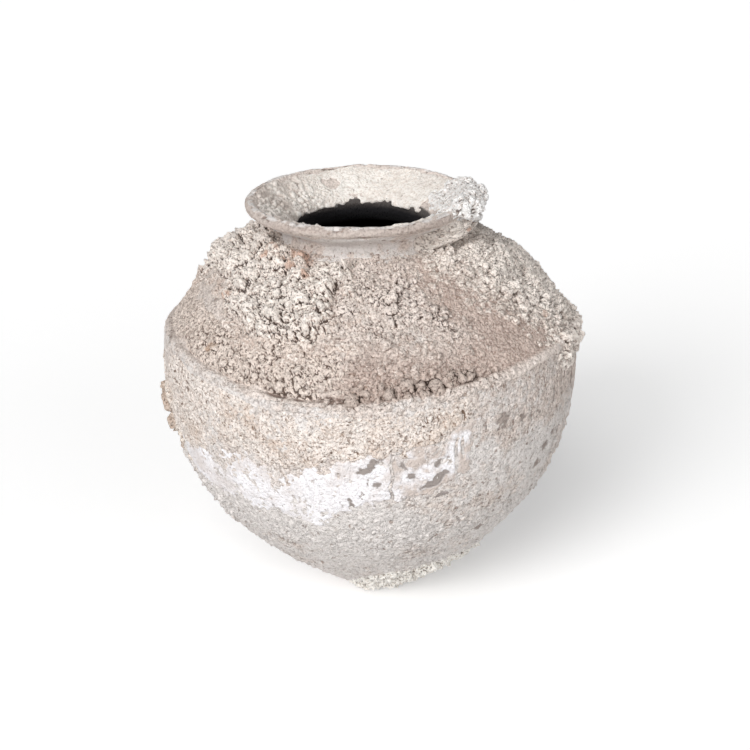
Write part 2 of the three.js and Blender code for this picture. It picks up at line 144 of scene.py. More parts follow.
def hollowed(height, near, far, depth=1.0):
    """How a place stands to its surroundings: 0.5 is level, 0 a crevice and 1 a tip. It compares the height with
    its mean over a near and a far square of cells, for a relief of about the given depth."""
    close = height - blurred(blurred(height, near, 0), near, 1)
    wide = height - blurred(blurred(height, far, 0), far, 1)
    return np.clip(0.5 + (0.42 * close + 0.16 * wide) / depth, 0, 1)


Strip = namedtuple("Strip", "share left right run radius angle points")


def strip_on(bed, share, left_deg, right_deg, run):
    """A grid on a bed: angles by their share of the way from a left to a right side, given at the lowest and the
    highest run, and runs along the bed."""
    radius, height = off_bed(bed, run, 0)
    left = np.radians(np.interp(run, (run[0], run[-1]), left_deg))
    right = np.radians(np.interp(run, (run[0], run[-1]), right_deg))
    angle = left + share[:, None] * (right - left)
    return Strip(share, left, right, run, radius, angle, settled(radius + 0 * angle, height + 0 * angle, angle))


def strewn(strip, count, sizes, lifts, rng, crumble=None, depth=0.8, sector=None):
    """Heights and tints of stones strewn over a strip, or a sector of it in degrees, each place taking the highest.
    A stone is a dome, the lift plus the depth times its size times the root of one less the squared distance, on an
    oval turned at random."""
    chance = np.cumsum(strip.radius)
    run = np.interp(rng.random(count), chance / chance[-1], strip.run)
    left, right = np.radians(sector) if sector else (strip.left, strip.right)
    angle = np.interp(run, strip.run, left + 0 * strip.run)
    angle = angle + rng.random(count) * (np.interp(run, strip.run, right + 0 * strip.run) - angle)
    size = sizes[0] + (sizes[1] - sizes[0]) * rng.random(count) ** 1.6
    lift = lifts[0] + (lifts[1] - lifts[0]) * rng.random(count)
    turn, oval, tint = np.pi * rng.random(count), 0.62 + 0.38 * rng.random(count), rng.random(count)
    return domes(strip, angle, run, size, lift, turn, oval, tint, depth, crumble)


def domes(strip, angle, run, size, lift, turn, oval, tint, depth, crumble=None):
    """The heights and tints that given stones make on a strip, worked out on a window of cells round each stone.
    Crumble is a pair of unevennesses that push a place aside by up to a third of a stone, so that stones turn
    angular. Such stones also tip to one side."""
    shape = strip.angle.shape
    height, shade = np.full(shape, -9.0), np.full(shape, 0.5)
    reach = int(np.ceil(size.max() / np.diff(strip.run).min())) + 1
    row = np.rint(np.interp(run, strip.run, np.arange(shape[1]))).astype(int)[:, None]
    row = row + np.arange(-reach, reach + 1)
    real = (row >= 0) & (row < shape[1])
    row = row.clip(0, shape[1] - 1)
    width = (strip.right - strip.left)[row]
    spot = (angle[:, None] - strip.left[row]) / width
    step = np.diff(strip.share).min() * (strip.radius * (strip.right - strip.left)).min()
    span = min(int(np.ceil(size.max() / step)) + 1, 24)
    column = np.rint(np.interp(spot, strip.share, np.arange(shape[0]))).astype(int)[:, :, None]
    column = column + np.arange(-span, span + 1)
    real = real[:, :, None] & (column >= 0) & (column < shape[0])
    column = column.clip(0, shape[0] - 1)
    here = strip.left[row][:, :, None] + strip.share[column] * width[:, :, None]
    across = (here - angle[:, None, None]) * strip.radius[row][:, :, None]
    up = (strip.run[row] - run[:, None])[:, :, None] + 0 * across
    cos, sin, wide = np.cos(turn)[:, None, None], np.sin(turn)[:, None, None], size[:, None, None]
    tip = 0.0
    if crumble is not None:
        across = across + 0.36 * wide * crumble[0][column, row[:, :, None]]
        up = up + 0.36 * wide * crumble[1][column, row[:, :, None]]
        tip = 0.45 * np.sin(40 * tint)[:, None, None]
    along = across * cos + up * sin
    far = (along**2 + ((up * cos - across * sin) / oval[:, None, None]) ** 2) / wide**2
    rise = lift[:, None, None] + depth * wide * np.sqrt(np.clip(1 - far, 0, 1)) + tip * along
    rise = np.where(real & (far < 1), rise, -9.0)
    cell = (column * shape[1] + row[:, :, None]).ravel()
    np.maximum.at(height.ravel(), cell, rise.ravel())
    top = rise.ravel() >= height.ravel()[cell] - 1e-9
    shade.ravel()[cell[top]] = (0 * rise + tint[:, None, None]).ravel()[top]
    return height, np.where(height > -9, shade, 0.5)


def skin(name, rings, closed, marks, material):
    """A closed mesh from rings of points: quads join each ring to the next, and a ring to itself all the way round.
    The first and last ring join too where closed, and otherwise are faces. Marks are numbers for each point."""
    count, around = rings.shape[:2]
    k, i = np.meshgrid(np.arange(count if closed else count - 1), np.arange(around), indexing="ij")
    k, i = k.ravel(), i.ravel()
    after, beside = (k + 1) % count, (i + 1) % around
    quads = np.stack([k * around + i, k * around + beside, after * around + beside, after * around + i], 1)
    first, last = np.arange(around)[::-1], (count - 1) * around + np.arange(around)
    ends = np.zeros((0, around), int) if closed else np.stack([first, last])
    mesh = bpy.data.meshes.new(name)
    mesh.vertices.add(count * around)
    mesh.vertices.foreach_set("co", (rings * 0.001).astype(np.float32).ravel())
    mesh.loops.add(quads.size + ends.size)
    mesh.loops.foreach_set("vertex_index", np.concatenate([quads.ravel(), ends.ravel()]).astype(np.int32))
    mesh.polygons.add(len(quads) + len(ends))
    starts = np.concatenate([4 * np.arange(len(quads)), quads.size + around * np.arange(len(ends))])
    mesh.polygons.foreach_set("loop_start", starts.astype(np.int32))
    mesh.update(calc_edges=True)
    mesh.validate()
    mesh.shade_smooth()
    for mark, values in marks.items():
        field = mesh.attributes.new(mark, "FLOAT", "POINT")
        field.data.foreach_set("value", values.astype(np.float32).ravel())
    mesh.materials.append(material)
    piece = bpy.data.objects.new(name, mesh)
    bpy.context.scene.collection.objects.link(piece)
    return piece


def paint(red, green, blue):
    """A colour as linear light from the usual 0 to 255 numbers."""
    share = np.array([red, green, blue]) / 255
    return (*np.where(share <= 0.04045, share / 12.92, ((share + 0.055) / 1.055) ** 2.4).tolist(), 1)


def wire(tree, kind, sockets, **settings):
    """Adds a shader node, with its settings, and sets or links its inputs."""
    node = tree.nodes.new(kind)
    for setting, value in settings.items():
        setattr(node, setting, value)
    for socket, value in sockets.items():
        if isinstance(value, bpy.types.NodeSocket):
            tree.links.new(value, node.inputs[socket])
        else:
            node.inputs[socket].default_value = value
    return node


def reckon(tree, operation, *values, clamp=False):
    return wire(tree, "ShaderNodeMath", dict(enumerate(values)), operation=operation, use_clamp=clamp).outputs[0]


def graded(tree, value, low, high, to_low=0.0, to_high=1.0):
    sockets = {"Value": value, "From Min": low, "From Max": high, "To Min": to_low, "To Max": to_high}
    return wire(tree, "ShaderNodeMapRange", sockets, interpolation_type="SMOOTHSTEP").outputs[0]


def blend(tree, share, first, second, mode="MIX"):
    sockets = {0: share, 6: first, 7: second}
    return wire(tree, "ShaderNodeMix", sockets, data_type="RGBA", blend_type=mode, clamp_factor=True).outputs[2]


def cloud(tree, vector, scale, detail, roughness=0.6):
    sockets = {"Vector": vector, "Scale": scale, "Detail": detail, "Roughness": roughness}
    return wire(tree, "ShaderNodeTexNoise", sockets).outputs["Fac"]


def effect(name, inputs, outputs):
    """A node group with named sockets. Gives back the group, what comes in and what goes out."""
    group = bpy.data.node_groups.new(name, "ShaderNodeTree")
    for socket, kind in inputs.items():
        group.interface.new_socket(socket, in_out="INPUT", socket_type=kind)
    for socket, kind in outputs.items():
        group.interface.new_socket(socket, in_out="OUTPUT", socket_type=kind)
    return group, group.nodes.new("NodeGroupInput").outputs, group.nodes.new("NodeGroupOutput").inputs


# Weathered colour: cloudy patches between a body and a pale colour, painted shade in the hollows, and the tips
# made paler by dust and painted light.
weathered_and_shaded, given, result = effect(
    "weathered colour",
    {"Vector": "NodeSocketVector", "Deep": "NodeSocketColor", "Body": "NodeSocketColor", "Pale": "NodeSocketColor",
     "Hollow": "NodeSocketFloat", "Tint": "NodeSocketFloat", "Patches": "NodeSocketFloat",
     "Flecks": "NodeSocketFloat"},
    {"Color": "NodeSocketColor"},
)
patch = cloud(weathered_and_shaded, given["Vector"], 38.0, 4.0)
fleck = cloud(weathered_and_shaded, given["Vector"], 600.0, 1.0, 0.6)
swing = reckon(weathered_and_shaded, "MULTIPLY", reckon(weathered_and_shaded, "SUBTRACT", patch, 0.5), given["Patches"])
swing = reckon(weathered_and_shaded, "MULTIPLY_ADD", reckon(weathered_and_shaded, "SUBTRACT", fleck, 0.5), 2.4, swing)
swing = reckon(weathered_and_shaded, "MULTIPLY_ADD", reckon(weathered_and_shaded, "SUBTRACT", given["Tint"], 0.5), 1.0, swing)
tone = blend(weathered_and_shaded, graded(weathered_and_shaded, swing, -0.5, 0.5), given["Body"], given["Pale"])
# Tips are painted paler, partly as dust and partly as painted light; crevices darker as painted shade.
dust_and_tip_light = graded(weathered_and_shaded, given["Hollow"], 0.5, 0.8, 0.0, 0.9)
tone = blend(weathered_and_shaded, dust_and_tip_light, tone, given["Pale"])
dark = graded(weathered_and_shaded, given["Hollow"], 0.41, 0.04, 0.0, 0.95)
sand = reckon(weathered_and_shaded, "MULTIPLY", graded(weathered_and_shaded, fleck, 0.42, 0.28), given["Flecks"])
dark = reckon(weathered_and_shaded, "MAXIMUM", dark, sand)
weathered_and_shaded.links.new(blend(weathered_and_shaded, dark, tone, given["Deep"]), result["Color"])

# Gritty relief: sand grains and pits too small for the mesh, as a height in millimetres, and a tint for each grain.
gritty, given, result = effect(
    "gritty relief",
    {"Vector": "NodeSocketVector", "Scale": "NodeSocketFloat", "Grain": "NodeSocketFloat",
     "Fine": "NodeSocketFloat"},
    {"Height": "NodeSocketFloat", "Tint": "NodeSocketFloat"},
)
wobble = wire(gritty, "ShaderNodeTexNoise", {"Vector": given["Vector"], "Scale": 420.0, "Detail": 3.0})
moved = wire(gritty, "ShaderNodeVectorMath",
             {0: wobble.outputs["Color"], 1: (0.004, 0.004, 0.004), 2: given["Vector"]}, operation="MULTIPLY_ADD")
cells = wire(gritty, "ShaderNodeTexVoronoi", {"Vector": moved.outputs[0], "Scale": given["Scale"]})
pick = wire(gritty, "ShaderNodeSeparateColor", {"Color": cells.outputs["Color"]}).outputs
swell = graded(gritty, cells.outputs["Distance"], 0.05, 0.75, 1.0, 0.0)
swell = reckon(gritty, "MULTIPLY", swell, graded(gritty, pick[1], 0.0, 1.0, 0.25, 1.0))
fine = reckon(gritty, "MULTIPLY", cloud(gritty, given["Vector"], 520.0, 1.0, 0.5), given["Fine"])
gritty.links.new(reckon(gritty, "MULTIPLY_ADD", swell, given["Grain"], fine), result["Height"])
gritty.links.new(pick[0], result["Tint"])

# Specks: scattered spots of dirt, a share of the cells of a lattice, each with a ragged edge.
specked, given, result = effect(
    "specks",
    {"Vector": "NodeSocketVector", "Scale": "NodeSocketFloat", "Amount": "NodeSocketFloat"},
    {"Mask": "NodeSocketFloat"},
)
ragged = wire(specked, "ShaderNodeTexNoise", {"Vector": given["Vector"], "Scale": 500.0, "Detail": 2.0})
moved = wire(specked, "ShaderNodeVectorMath",
             {0: ragged.outputs["Color"], 1: (0.006, 0.006, 0.006), 2: given["Vector"]}, operation="MULTIPLY_ADD")
cells = wire(specked, "ShaderNodeTexVoronoi", {"Vector": moved.outputs[0], "Scale": given["Scale"]})
pick = wire(specked, "ShaderNodeSeparateColor", {"Color": cells.outputs["Color"]}).outputs[0]
spot = graded(specked, cells.outputs["Distance"], 0.2, 0.42, 1.0, 0.0)
chosen = reckon(specked, "LESS_THAN", pick, given["Amount"])
specked.links.new(reckon(specked, "MULTIPLY", spot, chosen), result["Mask"])


def finish(name):
    """A new material with its default node tree and shader, and what every finish here reads."""
    material = bpy.data.materials.new(name)
    material.use_nodes = True
    tree = material.node_tree
    shader = tree.nodes["Principled BSDF"]
    shader.inputs["Roughness"].default_value = 0.95
    shader.inputs["Specular IOR Level"].default_value = 0.2
    vector = wire(tree, "ShaderNodeTexCoord", {}).outputs["Object"]
    return material, tree, shader, vector


def mark_of(tree, mark):
    return wire(tree, "ShaderNodeAttribute", {}, attribute_name=mark).outputs["Fac"]


def placed(tree, group, sockets):
    """Puts an effect into a material, with its own values, and gives back what comes out of it."""
    return wire(tree, "ShaderNodeGroup", sockets, node_tree=group).outputs


def grit_on(tree, shader, vector, scale, grain, fine, strength=1.0):
    """Leads the gritty relief to the shader's normal. Gives back the tint of each place, half the mesh's, half the
    grain's."""
    grit = placed(tree, gritty, {"Vector": vector, "Scale": scale, "Grain": grain, "Fine": fine})
    height = reckon(tree, "MULTIPLY", grit["Height"], strength)
    bump = wire(tree, "ShaderNodeBump", {"Height": height, "Distance": 0.001})
    tree.links.new(bump.outputs[0], shader.inputs["Normal"])
    return reckon(tree, "MULTIPLY_ADD", grit["Tint"], 0.5, reckon(tree, "MULTIPLY", mark_of(tree, "tint"), 0.5))


# Terracotta: worn grey-brown, with painted shade in its hollows, pinker where marked warm, paler where marked with
# lime film (under the neck's lip, also painted light), grey where scale has flaked off, and black inside as painted
# shade.
terracotta, tree, shader, vector = finish("worn terracotta")
tint = grit_on(tree, shader, vector, 560.0, 1.2, 1.4, mark_of(tree, "gritty"))
warmth = mark_of(tree, "warm")
body = blend(tree, warmth, paint(208, 195, 187), paint(170, 150, 140))
pale = blend(tree, warmth, paint(232, 220, 212), paint(212, 194, 184))
tone = placed(tree, weathered_and_shaded, {"Vector": vector, "Deep": paint(128, 110, 100), "Body": body, "Pale": pale,
                                "Hollow": mark_of(tree, "hollow"), "Tint": tint, "Patches": 1.0,
                                "Flecks": reckon(tree, "MULTIPLY", mark_of(tree, "gritty"), 0.55)})[0]
film = reckon(tree, "MULTIPLY_ADD", reckon(tree, "SUBTRACT", cloud(tree, vector, 150.0, 6.0, 0.75), 0.5), 1.8,
              mark_of(tree, "film"))
tone = blend(tree, graded(tree, film, 0.25, 0.8, 0.0, 0.85), tone, paint(230, 225, 222))
sand = reckon(tree, "MULTIPLY", graded(tree, cloud(tree, vector, 430.0, 2.0), 0.46, 0.3), mark_of(tree, "gritty"))
tone = blend(tree, reckon(tree, "MULTIPLY", sand, 0.55), tone, paint(146, 132, 122))
dirt = placed(tree, specked, {"Vector": vector, "Scale": 210.0, "Amount": 0.12})[0]
tone = blend(tree, reckon(tree, "MULTIPLY", dirt, 0.65), tone, paint(132, 108, 92))
tone = blend(tree, mark_of(tree, "bare"), tone, paint(164, 152, 145))
lime_flecks = placed(tree, specked, {"Vector": vector, "Scale": 90.0, "Amount": 0.07})[0]
# The inside is painted near-black as shade, with a few grey flecks of lime.
inside = blend(tree, lime_flecks, paint(30, 29, 31), paint(150, 148, 148))
tone = blend(tree, mark_of(tree, "inside_shade"), tone, inside)
tree.links.new(tone, shader.inputs["Base Color"])

belly_line = wall_line((FOOT_RADIUS, 0), 39.5, 91, (LEDGE_RADIUS, LEDGE_HEIGHT), 97, 121)
belly = bed_on(belly_line)
edge_from, edge_to = np.array([FOOT_RADIUS - FOOT_EDGE, 0.0]), np.array(off_bed(belly, FOOT_EDGE, 0))
t = np.linspace(0, 1, 40)[:, None]
foot_edge = (1 - t) ** 2 * edge_from + 2 * t * (1 - t) * np.array([FOOT_RADIUS, 0]) + t**2 * edge_to
bead = (LEDGE_RADIUS - LEDGE_BEAD, LEDGE_HEIGHT)
outside = bed_on(np.array([[1.0, 0.0], edge_from]), foot_edge, belly_line[belly.run > FOOT_EDGE],
                 arc_line(bead, LEDGE_BEAD, 0, 150))
ledge_run = outside.run[np.argmin(np.hypot(*(outside.line - [LEDGE_RADIUS, LEDGE_HEIGHT]).T))]


def round_shares(from_deg, to_deg, close, wide):
    """Shares of the way round the jar: closely spaced from one angle to another, then widely spaced back to it."""
    first = np.linspace(from_deg, to_deg, close)
    rest = np.linspace(to_deg, from_deg + 360, wide)[1:-1]
    return (np.concatenate([first, rest]) - from_deg) / 360


# Angles lie closer together in front, and runs closer together on the upper belly.
low_runs = np.linspace(0, ledge_run - 130, 84)
runs = np.concatenate([low_runs, np.linspace(ledge_run - 130, outside.run[-1], 124)[1:]])
bowl = strip_on(outside, round_shares(-97, 97, 364, 52), (-97, -97), (263, 263), runs)
degrees = (np.degrees(bowl.angle) + 180) % 360 - 180
below = ledge_run - bowl.run + 0 * degrees
cloudy = rough(bowl.points, 30, 3, 11)
upright = np.stack([LEDGE_RADIUS * np.sin(bowl.angle), LEDGE_RADIUS * np.cos(bowl.angle), 0.2 * below], -1)
wrinkled = eased(degrees, 18, 30) * eased(degrees, 120, 90) * eased(below, 0, 12) * eased(below, 150, 100)
scaly = eased(below + 14 * cloudy, 80, 112)
rng = np.random.default_rng(41)
grain, grain_tint = strewn(bowl, 9000, (1.2, 2.6), (-0.8, 0.1), rng, depth=0.7, sector=(-110, 110))
coarse = strewn(bowl, 900, (1.8, 4.2), (-1.4, 0.2), rng, depth=0.8, sector=(-115, -48))[0]
grain = np.clip(grain, 0, 2) * (0.3 + 0.7 * scaly)
grain = grain + np.clip(coarse, 0, 3) * eased(below + 10 * cloudy, 88, 100) * eased(below, 165, 140)
coarse = strewn(bowl, 420, (1.8, 3.6), (-1.6, -0.2), rng, depth=0.8, sector=(58, 112))[0]
grain = grain + np.clip(coarse, 0, 3) * eased(below + 14 * cloudy, 45, 75) * eased(below, 190, 165)
dents = 0.8 * rough(bowl.points, 60, 2, 12) + 0.4 * rough(bowl.points, 7, 3, 13)
lift = dents + 0.35 * wrinkled * rough(upright, 3.4, 2, 14) + grain
lift = lift * eased(bowl.run, 28, 50) * eased(bowl.run, outside.run[-1], outside.run[-1] - 2.5)
lift = lift * (1 - 0.45 * eased(np.abs(degrees), 125, 160))
hollow = hollowed(lift, 1, 4, 0.3)
warm = 0.3 * eased(degrees + 12 * cloudy, 10, 45) * eased(below + 25 * cloudy, 95, 45)
washed = eased(np.abs(degrees + 28), 46, 16) * eased(below, 62, 84) * eased(below, 140, 106)
washed = washed + (0.9 * eased(np.abs(degrees - 44 + 8 * cloudy), 26, 8) * eased(below + 12 * cloudy, 36, 50)
                   * eased(below, 96, 70))
film = np.clip(0.54 + 0.2 * scaly - 0.5 * warm + 0.2 * cloudy + 0.4 * washed, 0, 1)
flakes = [(35.2, 29, 4.2), (42.5, 32, 2.2), (48.8, 36, 3.0), (39.2, 48, 1.8), (57, 61, 3.0), (54, 68, 2.6),
          (51.2, 82, 2.6), (34, 126, 2.4)]
bare = np.zeros_like(lift)
waver = 3.2 * rough(bowl.points, 3.4, 3, 15)
for angle_deg, down, size in flakes:
    far = np.hypot(np.radians(degrees - angle_deg) * bowl.radius, below - down) + waver
    bare = np.maximum(bare, eased(far, size + 0.8, size - 0.4))
lift = lift - 0.4 * bare
radius, height = off_bed(outside, bowl.run, lift)
outer = settled(radius, height, bowl.angle)



def carried_round(line, angle):
    """Points of a line of radius and height, carried round the jar to each angle."""
    return settled(line[:, 0] + 0 * angle[:, :1], line[:, 1] + 0 * angle[:, :1], angle[:, :1])


inner_line = belly_line - BOWL_WALL * belly.normal[:len(belly_line)]
scarf = LEDGE_HEIGHT - SCARF_DEPTH
inner_line = inner_line[(inner_line[:, 1] > FLOOR_THICKNESS) & (inner_line[:, 1] < scarf)]
inner_line = np.concatenate([inner_line[::-16], [[30.0, FLOOR_THICKNESS], [1.0, FLOOR_THICKNESS]]])
rings = np.concatenate([outer, carried_round(inner_line, bowl.angle)], axis=1).swapaxes(0, 1)


def marked(top, inside_count, **values):
    """Marks for a clay section: the given ones on its outside, and painted shade over its inside."""
    blank = np.zeros((top.shape[0], inside_count))
    marks = {mark: np.concatenate([value, blank + (mark == "hollow") * 0.5], axis=1).T
             for mark, value in values.items()}
    marks["inside_shade"] = np.concatenate([0 * top, blank + 1], axis=1).T
    return marks


marks = marked(lift, len(inner_line), hollow=hollow, tint=grain_tint, warm=warm, film=film, bare=bare,
               gritty=1 + 0 * lift)
piece = skin("bowl_clay", rings, False, marks, terracotta)
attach(piece, "root")
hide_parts("lower_bowl")


# Shoulder
# The clay dome between the ridge and the neck, made apart and luted to the bowl's bevelled edge with slip. Gritty
# low in front, where sand stuck to it, and nearly bare on the right, with fine wiped lines.
SHOULDER_WALL = 7.5
NECK_OUTSIDE = 59.5
NECK_ROOT = (68.0, LEDGE_HEIGHT + SHOULDER_RISE)
NECK_ROOT_INNER = (NECK_ROOT[0] - 7.42, NECK_ROOT[1] - 7.42)
SLIP_BELOW = 2.5
SLIP_ABOVE = 5
scarf_outer = arc_line(bead, LEDGE_BEAD, 0, 150)[-1]
shoulder_line = wall_line(scarf_outer, 180 - 54, 25, NECK_ROOT, 180 - 13, 48)
shoulder = bed_on(shoulder_line)

# The slip that joins it to the bowl is smeared over the ridge: a quadratic bend from the belly to the shoulder.
belly_run = belly.run[-1]
slip_from = np.array(off_bed(belly, belly_run - SLIP_BELOW, 0))
slip_to = np.array(off_bed(shoulder, SLIP_ABOVE, 0))
bend = np.array([LEDGE_RADIUS + 0.4, LEDGE_HEIGHT + 1.0])
slip_line = (1 - t) ** 2 * slip_from + 2 * t * (1 - t) * bend + t**2 * slip_to
cover = bed_on(slip_line, shoulder_line[shoulder.run > SLIP_ABOVE])
foot_run = cover.run[-1] - shoulder.run[-1]
runs = np.concatenate([np.linspace(0, foot_run + SLIP_ABOVE, 24)[:-1],
                       np.linspace(foot_run + SLIP_ABOVE, cover.run[-1], 184)])
dome = strip_on(cover, round_shares(-12, 72, 320, 120), (-12, -12), (348, 348), runs)
degrees = (np.degrees(dome.angle) + 180) % 360 - 180
cloudy = rough(dome.points, 26, 3, 21)
above = dome.run - foot_run + 0 * degrees
sandy = eased(degrees + 8 * cloudy, 40, 24) * eased(degrees, -150, -110)
rng = np.random.default_rng(42)
crumble = rough(dome.points, 3, 2, 25), rough(dome.points, 3, 2, 26)
sand, sand_tint = strewn(dome, 15000, (0.6, 1.2), (-0.5, 0.2), rng, None, 0.8, (-14, 66))
spread = strewn(dome, 900, (1.0, 3.0), (-0.9, 0.4), rng, crumble, 0.85, (-14, 50))[0]
sand = np.maximum(0.5 * np.clip(sand, 0, 3), np.clip(spread, 0, 3))
wiped = np.stack([150 * np.sin(dome.angle) - 0.7 * above, 150 * np.cos(dome.angle), 0.35 * above], -1)
lift = 0.7 * rough(dome.points, 50, 2, 22) + 0.4 * rough(dome.points, 8, 3, 23) + 0.5 * rough(wiped, 3.5, 2, 24)
lift = lift + sand * (0.2 + 0.8 * sandy)
groove = eased(np.abs(degrees + 15), 18, 8)
slip = 1.3 - 0.3 * eased(np.abs(degrees), 110, 150) + 0.5 * cloudy
lift = lift + slip * eased(np.abs(above - 0.5), 5, 1) * (1 - 0.5 * groove)
lift = lift - 1.0 * eased(np.abs(above - 5), 4, 1) * groove
lift = lift - 1.6 * eased(dome.run + 1.0 * rough(dome.points, 6, 3, 27), 2.5, 0.3)
lift = lift * eased(above, shoulder.run[-1], shoulder.run[-1] - 4)
# The groove above the ridge is also darkened, as a painted shadow line.
hollow = hollowed(lift, 2, 6, 0.85) - 0.22 * eased(np.abs(above - 5), 4, 1) * groove
front = eased(above + 8 * cloudy, 46, 16) * eased(degrees, -18, -4) * eased(above, 1, 5)
warm = np.maximum(eased(degrees + 10 * cloudy, 20, 36) * eased(degrees, 90, 60) * eased(above, 0, 5), front)
film = np.clip(0.1 + 0.3 * cloudy - 0.25 * warm + 0.2 * eased(above, 4, 0), 0, 1)
radius, height = off_bed(cover, dome.run, lift)
outer = settled(radius, height, dome.angle)
inner_line = (shoulder_line - SHOULDER_WALL * shoulder.normal[:len(shoulder_line)])[::-36]
inner_line = inner_line[(inner_line[:, 0] > NECK_ROOT_INNER[0] + 2) & (inner_line[:, 0] < 150)]
inner_line = np.concatenate([[NECK_ROOT_INNER], inner_line, [[152.6, scarf + 0.3]]])
inner = carried_round(inner_line, dome.angle)
marks = marked(lift, len(inner_line), hollow=hollow, tint=sand_tint, warm=warm, film=film, bare=0 * lift,
               gritty=0.6 + 0.4 * sandy)
piece = skin("shoulder_clay", np.concatenate([outer, inner], axis=1).swapaxes(0, 1), True, marks, terracotta)
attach(piece, "root")
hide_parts("shoulder_dome")


# Neck and rim
# One thrown ring of clay: a short throat and an out-turned rim with a half-round lip, luted to the shoulder. Its
# outside is mauve-grey, wiped smooth while it was wet, limed in front, paler under the lip as painted light, with
# a pale line along the lip's crest and a painted shadow line below that.
THROAT = (51.0, NECK_ROOT[1] + 9)
LIP_ROUND = 4
LIP = np.array([NECK_OUTSIDE + 27 - LIP_ROUND, THROAT[1] + 24 - LIP_ROUND])
FLARE = np.radians(37)
across_lip = LIP_ROUND * np.array([np.sin(FLARE), -np.cos(FLARE)])
fillet_line = wall_line(NECK_ROOT, 180 - 13, 7, (NECK_OUTSIDE, THROAT[1]), 90, 3.5)
flare_line = wall_line((NECK_OUTSIDE, THROAT[1]), 90, 7, LIP + across_lip, 37, 17)
lip_line = arc_line(LIP, LIP_ROUND, 37 - 90, 37 + 90)
funnel_line = wall_line(LIP - across_lip, 37 + 180, 17, THROAT, -90, 7)
under_line = wall_line(THROAT, -90, 7, NECK_ROOT_INNER, -30, 7)
ring = bed_on(fillet_line, flare_line, lip_line, funnel_line, under_line)
lip_run = ring.run[np.argmax(ring.line[:, 1])]
throat_run = ring.run[np.argmin(ring.line[:, 0])]
neck = strip_on(ring, round_shares(-100, 100, 461, 161), (-100, -100), (260, 260),
                np.linspace(0, ring.run[-1], 116))
degrees = (np.degrees(neck.angle) + 180) % 360 - 180
cloudy = rough(neck.points, 18, 3, 31)
thrown = np.stack([12 * np.sin(neck.angle), 12 * np.cos(neck.angle), neck.run + 0 * degrees], -1)
lift = 0.6 * rough(neck.points, 26, 2, 32) + 0.25 * rough(neck.points, 4, 3, 33) + 0.55 * rough(thrown, 4.0, 3, 34)
chips = np.clip(rough(neck.points, 5.5, 2, 35) - 0.36, 0, 1) * eased(np.abs(neck.run - lip_run), 8, 3)
lift = (lift - 2.2 * chips) * eased(neck.run, 0, 3) * eased(neck.run, ring.run[-1], throat_run)
# A line below the lip's crest is darkened as a painted shadow under the lip.
hollow = hollowed(lift, 2, 6, 0.6) - 0.12 * eased(np.abs(neck.run - lip_run + 9 + cloudy), 2, 0.5)
# A paler line along the lip's crest.
lip_crest_pale = eased(np.abs(neck.run - lip_run + 0.4 + cloudy), 2.8, 1.4)
lip_crest_pale = lip_crest_pale * eased(rough(neck.points, 7, 3, 36), -0.3, 0.0)
# Under the lip the neck is painted paler and less warm, as painted light against the lip's shade.
under_lip = eased(neck.run, lip_run - 9, lip_run - 16)
lip_grey = 0.45 * eased(np.abs(neck.run - lip_run + 5), 5, 2.5) * (1 - lip_crest_pale)
limed = eased(np.abs(degrees + 6 + 8 * cloudy), 24, 13) * under_lip
film = 0.1 + 0.3 * cloudy + 1.4 * lip_crest_pale + 0.55 * under_lip * (1 + rough(neck.points, 9, 3, 38)) + 0.8 * limed
film = np.clip(film, 0, 1)
streaks = rough(thrown, 5.0, 3, 37)
warm = np.clip(0.2 + 0.4 * cloudy + 0.5 * streaks, 0, 1) * eased(neck.run, lip_run - 2, lip_run - 5)
warm = warm * (1 - 0.4 * under_lip) * (1 - limed)
# Painted shade: the neck darkens to near black down into the throat.
inside_shade = 0.86 * eased(neck.run + cloudy, throat_run - 7, throat_run - 4.5)
inside_shade = inside_shade + 0.14 * eased(neck.run, throat_run - 2, throat_run + 4)
radius, height = off_bed(ring, neck.run, lift)
marks = {"hollow": hollow, "tint": 0 * lift + 0.5, "warm": warm, "film": film * (1 - inside_shade),
         "bare": np.maximum(0.5 * inside_shade, lip_grey), "inside_shade": inside_shade, "gritty": 0.6 + 0 * lift}
points = settled(radius, height, neck.angle)
piece = skin("neck_clay", points.swapaxes(0, 1), True, {mark: value.T for mark, value in marks.items()}, terracotta)
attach(piece, "root")
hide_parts("neck_and_rim")


# Mouth lining
# A skin of lime inside the funnel, brushed on or left by hard water. It is off-white, rough to the left, and ends
# towards the throat in a ragged, dripping edge.
def lime(name, body, pale, deep, specks):
    """A chalky white finish: nearly even in colour, with painted shade in the hollows, a little grey grit, a few
    specks of dirt, and the grey of the clay where it is marked bare."""
    material, tree, shader, vector = finish(name)
    tint = grit_on(tree, shader, vector, 560.0, 0.6, 0.6)
    tone = placed(tree, weathered_and_shaded, {"Vector": vector, "Deep": deep, "Body": body, "Pale": pale, "Patches": 1.2,
                                    "Hollow": mark_of(tree, "hollow"), "Tint": tint, "Flecks": 0.22})[0]
    dirt = placed(tree, specked, {"Vector": vector, "Scale": 260.0, "Amount": specks})[0]
    tone = blend(tree, reckon(tree, "MULTIPLY", dirt, 0.7), tone, deep)
    tone = blend(tree, mark_of(tree, "stain"), tone, paint(200, 186, 177))
    tone = blend(tree, mark_of(tree, "bare"), tone, paint(154, 145, 140))
    tree.links.new(tone, shader.inputs["Base Color"])
    return material


